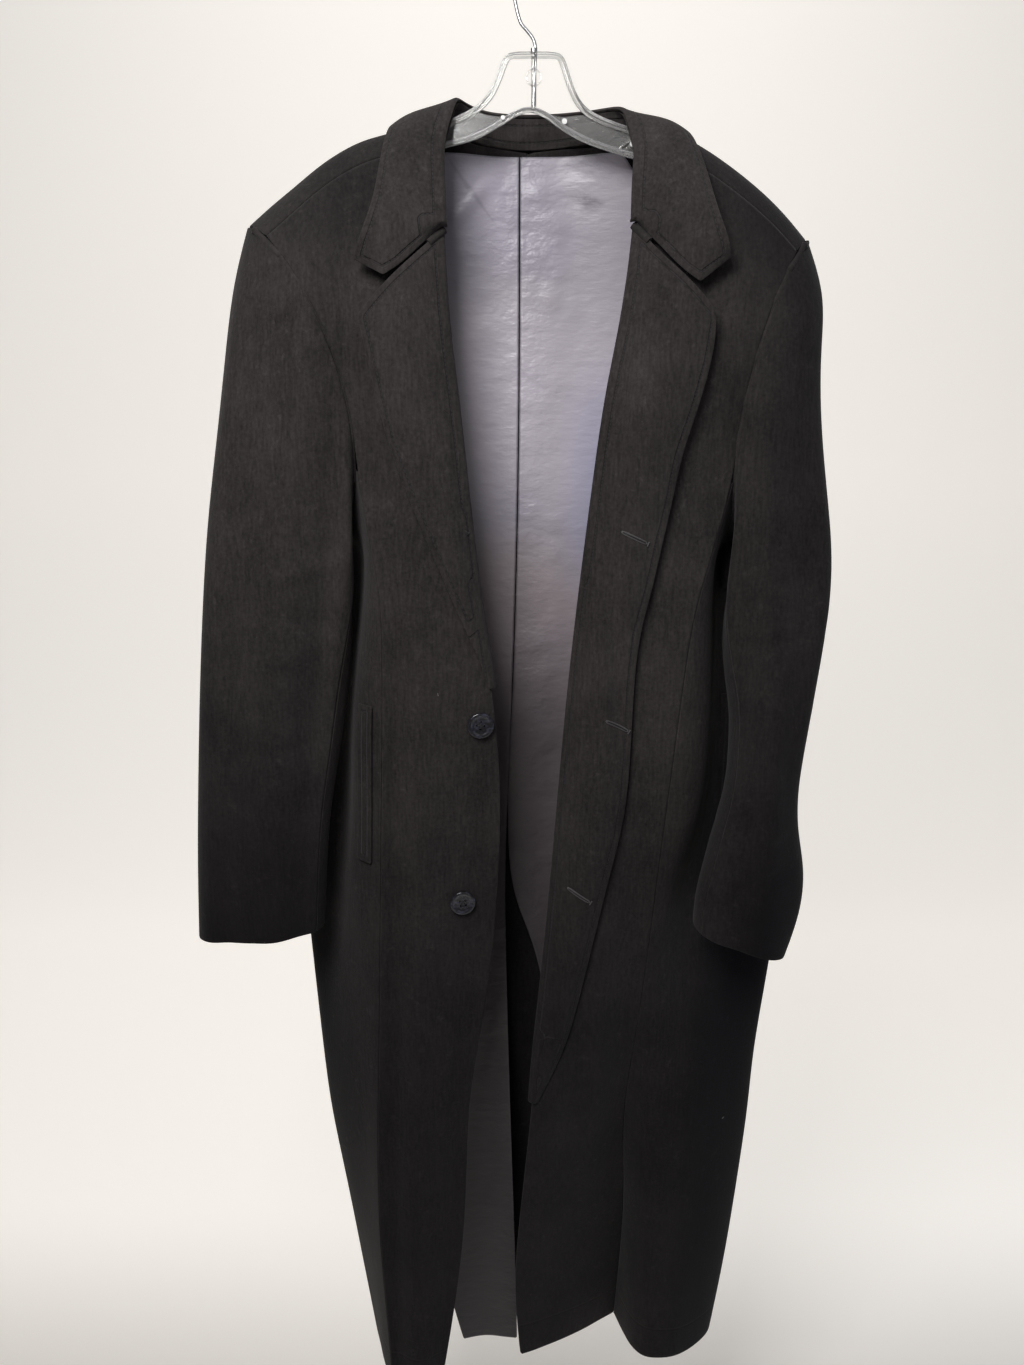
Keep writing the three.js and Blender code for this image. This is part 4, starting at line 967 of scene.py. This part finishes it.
def hole_outline(length, half_width, count):
    """A keyhole shape round its slit, its eyelet at the end that the length's sign points to."""
    outline = []
    for k in range(count):
        angle = 2 * math.pi * k / count
        along, aside = math.cos(angle), math.sin(angle)
        x = math.copysign(abs(along) ** 0.35, along) * length / 2
        bulge = EYELET * math.exp(-((x - length / 2 + EYELET) / (EYELET * 1.1)) ** 2)
        outline.append((x, aside * (half_width + bulge)))
    return outline


class OVERCOAT_OT_buttonholes(Operator):
    """Worked keyhole buttonholes on the left front, and the thread mark on the right facing"""
    bl_idname = "overcoat.buttonholes"
    bl_label = "Buttonholes"

    def execute(self, context):
        twist = finish_once("hole_twist", thread_finish, (0.095, 0.088, 0.092))
        # Near-black finish for the buttonhole slits: painted shade.
        slit_shade = finish_once("hole_slit_shade", thread_finish, (0.0022, 0.0020, 0.0022))
        for name, *row, length in BUTTONHOLES:
            def line(places):
                return [on_cloth(LEFT_FRONT, row, u, v, lift) for u, v, lift in places]

            parts = []
            for shorter, half_width, lift, radius in ((0, 1.25, 0.3, 0.45), (1.5, 0.85, 0.4, 0.35)):
                outline = hole_outline(shorter - length, half_width, 72)
                parts.append(curve_piece("ring", line((u, v, lift) for u, v in outline), radius * MM,
                                         cyclic=True, resolution=3))
            for u, v in hole_outline(-length, 1.1, PURLS):
                loop = line([(u * 0.97, v * 0.75, 0.55), (u, v * 1.1, 0.95), (u * 1.03, v * 1.5, 0.1)])
                parts.append(curve_piece("purl", loop, 0.2 * MM, resolution=1))
            bar = line((length / 2 + 1.2, v, 0.6) for v in (-2.2, -1, 0, 1, 2.2))
            parts.append(curve_piece("bar", bar, 0.6 * MM, resolution=3))
            dress(join(parts, f"buttonhole_{name}"), twist)
            # A near-black rod along each slit: painted shade in the buttonhole's opening.
            slit = line((length * t, 0, 0.45) for t in np.linspace(-0.44, 0.44, 8))
            dress(curve_piece(f"slit_{name}", slit, 0.75 * MM, resolution=2), slit_shade)
        tuft = []
        for k in range(4):
            start, normal = surface_at(RIGHT_FRONT, -61 + 1.1 * k, -480 - 0.7 * k)
            end, _ = surface_at(RIGHT_FRONT, -60 + 0.6 * k, -485 + 0.4 * k)
            tuft.append(curve_piece("stitch", [start, start.lerp(end, 0.5) + normal * 0.9 * MM, end],
                                    0.3 * MM, resolution=2))
        dress(join(tuft, "thread_mark"), dark_thread())
        return {"FINISHED"}


# ---- hanger and hook, in mm
HANGER_Y = -5.0
RAISED_Y = HANGER_Y - 2.2
BAR_Z = -77.5
STRAP_NOTCH = [((76, -151), (82, -146), (90, -141)), ((79, -154), (85, -149), (92, -145)),
               ((88, -138), (86, -143), (89, -149), (94, -151))]
HOOK_INNER = 20.0


def rail_points():
    """The upper and the lower rail, as x and z in mm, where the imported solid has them."""
    rows = {-1: [(108, -141.2), (132, -148.2), (156, -153.3), (180, -165.7), (204, -182.0)],
            1: [(108, -141.6), (132, -149.3), (156, -163.3), (180, -177.4), (204, -193.9)]}
    arm = {side: [(side * out, z) for out, z in rows[side]] for side in rows}
    middle = [(-88, -137.5), (-71, -130), (-50, -121), (-37.5, -110), (-30.5, -96), (-24.5, BAR_Z - 3),
              (-19, BAR_Z), (0, BAR_Z), (19, BAR_Z), (24.5, BAR_Z - 3), (33, -106), (42, -119.5),
              (57, -128.5), (86, -137.5)]
    low_middle = [(-84, -149.5), (-54.5, -143.5), (-33, -133), (-15.5, -122.5), (-3, -119.4), (10, -123.3),
                  (27, -135.4), (47, -145), (68, -151.6), (90, -158)]
    lower = {side: [(x, z - 15 + 2.2 * k) for k, (x, z) in enumerate(arm[side][1:])] for side in arm}
    upper = arm[-1][::-1] + middle + arm[1]
    return upper, lower[-1][::-1] + low_middle + lower[1]


def in_plane(points, y=HANGER_Y):
    return [(x * MM, y * MM, z * MM) for x, z in points]


def web_plate(side, upper, lower):
    """The clear plate between the rails of one arm."""
    inner, outer = 12, 200
    top = [(inner, -123.5), (26, -126), (42, -124),
           *sorted((side * x, z) for x, z in upper if side * x > 45)]
    bottom = sorted((side * x, z) for x, z in lower if side * x > -20)
    obj = primitive("grid", x_subdivisions=48, y_subdivisions=6, size=2)
    along, share = ((positions(obj.data)[:, :2] + 1) / 2).T
    out = inner + along * (outer - inner)
    high, low = np.interp(out, *zip(*top)), np.interp(out, *zip(*bottom))
    height = low + (high - low) * share
    put_positions(obj.data, np.stack([side * out, np.full(len(out), HANGER_Y), height], 1) * MM)
    apply_modifier(obj, "SOLIDIFY", thickness=1.6 * MM, offset=0)
    merge_doubles(obj)
    return obj


def ribbed_rail(points, radius):
    """A rail with a round core and a raised rib along each of its front edges."""
    places = np.array(points, float)
    runs = np.gradient(places, axis=0)
    runs /= np.linalg.norm(runs, axis=1)[:, None]
    across = np.stack([-runs[:, 1], runs[:, 0]], 1)
    core = curve_piece("core", in_plane(points, HANGER_Y + 0.4), radius * 0.8, resolution=8)
    lines = [places + across * side * (radius / MM - 1.25) for side in (-1, 1)]
    return [core, *(curve_piece("rib", in_plane(line, HANGER_Y - 1.9), 1.2 * MM) for line in lines)]


class OVERCOAT_OT_hanger(Operator):
    """Clear moulded hanger: ribbed rails, web plates, stem with its ring, pegs and strap notch"""
    bl_idname = "overcoat.hanger"
    bl_label = "Hanger"

    def execute(self, context):
        rail = context.scene.overcoat_trims.rail
        upper, lower = rail_points()
        parts = ribbed_rail(upper, rail) + ribbed_rail(lower, 0.85 * rail)
        parts.append(curve_piece("stem", in_plane([(0, BAR_Z), (0, -98), (0, -119.5)]), 2.4 * MM))
        turns = np.linspace(0, 2 * math.pi, 24, False)
        ring = [(6.4 * math.cos(a), -95 + 6.4 * math.sin(a)) for a in turns]
        parts.append(curve_piece("ring", in_plane(ring, RAISED_Y), 0.9 * MM, cyclic=True))
        parts += [curve_piece("notch", in_plane(line, RAISED_Y), 1.1 * MM) for line in STRAP_NOTCH]
        plates = [web_plate(side, upper, lower) for side in (-1, 1)]
        pegs = []
        for x, z, radius in ((-27, -127, 1.9), (27, -130, 2.3), (87, -148, 2.3)):
            peg = [(x * MM, (HANGER_Y - d) * MM, z * MM) for d in (0.5, 2.5, 3.6, 4.2)]
            pegs.append(curve_piece("peg", peg, radius * MM))
        clear = finish_once("clear_rail", clear_finish, 0.88, 0.02)
        dress(join(parts, "hanger_rails"), clear, ["hanger"], 50)
        frosted = finish_once("clear_plate", clear_finish, 0.92, 0.17)
        dress(join(plates, "hanger_plates"), frosted, [], 50)
        # The pegs get a pale, almost opaque finish: painted highlight standing in for the light that clear
        # pegs catch.
        peg_highlight_finish = finish_once("painted_peg_highlight", clear_finish, 0.15, 0.25)
        dress(join(pegs, "hanger_pegs"), peg_highlight_finish, [], 50)
        return {"FINISHED"}


class OVERCOAT_OT_hook(Operator):
    """Bright wire hook with a rounded tip, screwed into the hanger's bar"""
    bl_idname = "overcoat.hook"
    bl_label = "Hook"

    def execute(self, context):
        wire = context.scene.overcoat_trims.wire
        radius = HOOK_INNER + 1.5
        points = [(0, -117), (0.5, -100), (1.4, BAR_Z), (1.5, -70), (-0.8, -63.5), (-7, -57), (-12.6, -51.5)]
        for degrees in range(205, -21, -15):
            angle = math.radians(degrees)
            points.append((1.7 + radius * math.cos(angle), -HOOK_INNER + radius * math.sin(angle)))
        rod = curve_piece("rod", in_plane(points), wire, resolution=8)
        collar = [(0, BAR_Z + up) for up in (2.6, 3.4, 5.2, 5.8)]
        ferrule = curve_piece("ferrule", in_plane(collar), 2.9 * MM, resolution=8)
        tip = primitive("uv_sphere", segments=24, ring_count=12, radius=wire * 1.05)
        place_mesh(tip, *in_plane(points[-1:]))
        hook = join([rod, ferrule, tip], "hook_wire")
        dress(hook, finish_once("bright_wire", chrome_finish), ["hook"], 50)
        return {"FINISHED"}


# ---- lint
# Name, the panels it may lie on, x and z in mm, turn in degrees, length in mm
LINT = [("lint_lapel", LEFT_FRONT, 133, -260, 30, 2.6), ("lint_front", RIGHT_FRONT, -88, -632, 75, 3.0),
        ("lint_hem", ["side_left", "front_left"], 213, -1128, 10, 2.4)]


class OVERCOAT_OT_lint(Operator):
    """Three pale threads of lint caught on the wool"""
    bl_idname = "overcoat.lint"
    bl_label = "Lint"

    def execute(self, context):
        pale = finish_once("pale_lint", thread_finish, (0.42, 0.40, 0.40))
        for name, panels, *row, length in LINT:
            points = []
            for t in (k / 6 - 0.5 for k in range(7)):
                lift = 0.25 + 0.3 * math.sin(3 * t) ** 2
                points.append(on_cloth(panels, row, t * length, 0.5 * math.sin(5 * t), lift))
            dress(curve_piece(name, points, 0.16 * MM, resolution=2), pale)
        return {"FINISHED"}


# ---- stage
IMAGE_HEIGHT = 1365      # in pixels, as the focal length is
FOCAL_PIXELS = 1026.0
CAMERA_PLACE = (-0.019, -1.0, -0.3933)
CAMERA_PITCH = 13.8
FLOOR_SIZE, FLOOR_Z = 9, -1.75
WALL_SHIFT, WALL_HEIGHT, WALL_CURVE = -1.7, 6, 1.2


def aim(obj, target):
    direction = Vector(target) - obj.location
    obj.rotation_euler = direction.to_track_quat("-Z", "Y").to_euler()


class OVERCOAT_OT_stage(Operator):
    """Camera, pale floor and wall, and soft lamps"""
    bl_idname = "overcoat.stage"
    bl_label = "Stage"

    def execute(self, context):
        studio = context.scene.overcoat_studio
        data = bpy.data.cameras.new("camera")
        data.sensor_width = 36.0
        data.lens = FOCAL_PIXELS / IMAGE_HEIGHT * data.sensor_width
        data.clip_start, data.clip_end = 0.01, 50
        camera = context.scene.camera = add_object("camera", data)
        camera.location = CAMERA_PLACE
        camera.rotation_euler = (math.radians(90 - CAMERA_PITCH), 0, 0)

        floor = primitive("plane", size=FLOOR_SIZE, location=(0, 0, FLOOR_Z))
        floor.name = "pale_floor"
        enter("EDIT")
        bpy.ops.mesh.select_all(action="DESELECT")
        enter("OBJECT")
        for edge in floor.data.edges:
            ends = [floor.data.vertices[v].co.y for v in edge.vertices]
            edge.select = min(ends) > 4
        enter("EDIT")
        bpy.ops.transform.translate(value=(0, WALL_SHIFT, 0))
        bpy.ops.mesh.extrude_region_move(TRANSFORM_OT_translate={"value": (0, 0, WALL_HEIGHT)})
        enter("OBJECT")
        apply_modifier(floor, "BEVEL", width=WALL_CURVE, segments=24, limit_method="ANGLE",
                       angle_limit=math.radians(30), affect="EDGES")
        pale = Finish("pale_paper", Specular_IOR_Level=0.1, Emission_Strength=0.40)
        behind = pale.axis("Y").between(0.05, 0.6)
        pale.feed(pale.shader.inputs["Emission Color"],
                  pale.mix(behind, (0, 0, 0), (0.93, 0.90, 0.865)))
        grain = pale.noise(40.0, 2)
        pale.colour(pale.mix(grain * 0.15, studio.backdrop, (0.80, 0.78, 0.75)))
        pale.roughness(0.9 + grain * 0.05)
        pale.bump(grain, 0.2 * MM, 0.2)
        floor.data.materials.append(pale.material)
        pick(floor)
        bpy.ops.object.shade_smooth()

        lamps = [("key_lamp", (-0.40, -1.02, 0.36), (0, 0, -0.26), 0.6, studio.key, (1.0, 0.985, 0.97)),
                 ("fill_lamp", (1.5, -1.6, 0.4), (0, 0, -0.5), 1.4, studio.fill, (0.97, 0.98, 1.0)),
                 ("rim_lamp", (1.5, -0.35, -1.2), (0.1, 0, -1.2), 0.6, 1.6, (0.4, 0.55, 1.0)),
                 ("wall_lamp", (0.0, 0.9, 1.9), (0.0, 2.8, -0.4), 2.2, 30.0, (1.0, 0.985, 0.96))]
        for name, place, target, size, power, tint in lamps:
            lamp = bpy.data.lights.new(name, "AREA")
            lamp.size, lamp.energy, lamp.color = size, power, tint
            obj = add_object(name, lamp)
            obj.location = place
            aim(obj, target)
        world = bpy.data.worlds.new("studio")
        world.use_nodes = True
        sky = world.node_tree.nodes["Background"].inputs
        sky["Color"].default_value = (0.95, 0.94, 0.92, 1)
        sky["Strength"].default_value = 0.12
        context.scene.world = world
        context.scene.view_settings.view_transform = "Standard"
        return {"FINISHED"}


# ---- panel and registration
OPERATORS = [OVERCOAT_OT_stage, OVERCOAT_OT_body, OVERCOAT_OT_sleeves, OVERCOAT_OT_head_rolls,
             OVERCOAT_OT_facings, OVERCOAT_OT_collar, OVERCOAT_OT_gorge_tacks,
             OVERCOAT_OT_welts, OVERCOAT_OT_lining, OVERCOAT_OT_buttons, OVERCOAT_OT_buttonholes,
             OVERCOAT_OT_hanger, OVERCOAT_OT_hook, OVERCOAT_OT_lint]


class OVERCOAT_PT_pieces(Panel):
    """The overcoat's settings and the pieces that can be made"""
    bl_idname = "OVERCOAT_PT_pieces"
    bl_label = "Overcoat"
    bl_space_type = "VIEW_3D"
    bl_region_type = "UI"
    bl_category = "Overcoat"

    def draw(self, context):
        for group, settings in GROUPS.items():
            box = self.layout.box()
            for name in settings.__annotations__:
                box.prop(getattr(context.scene, group), name)
        for operator in OPERATORS:
            self.layout.operator(operator.bl_idname)


CLASSES = [OvercoatCloth, OvercoatTrims, OvercoatStudio, *OPERATORS, OVERCOAT_PT_pieces]
GROUPS = {"overcoat_cloth": OvercoatCloth, "overcoat_trims": OvercoatTrims, "overcoat_studio": OvercoatStudio}


def register():
    for one in CLASSES:
        bpy.utils.register_class(one)
    for name, group in GROUPS.items():
        setattr(bpy.types.Scene, name, PointerProperty(type=group))


def unregister():
    for name in GROUPS:
        delattr(bpy.types.Scene, name)
    for one in reversed(CLASSES):
        bpy.utils.unregister_class(one)


def main():
    register()
    for operator in OPERATORS:
        group, name = operator.bl_idname.split(".")
        getattr(getattr(bpy.ops, group), name)()


if __name__ == "__main__":
    main()
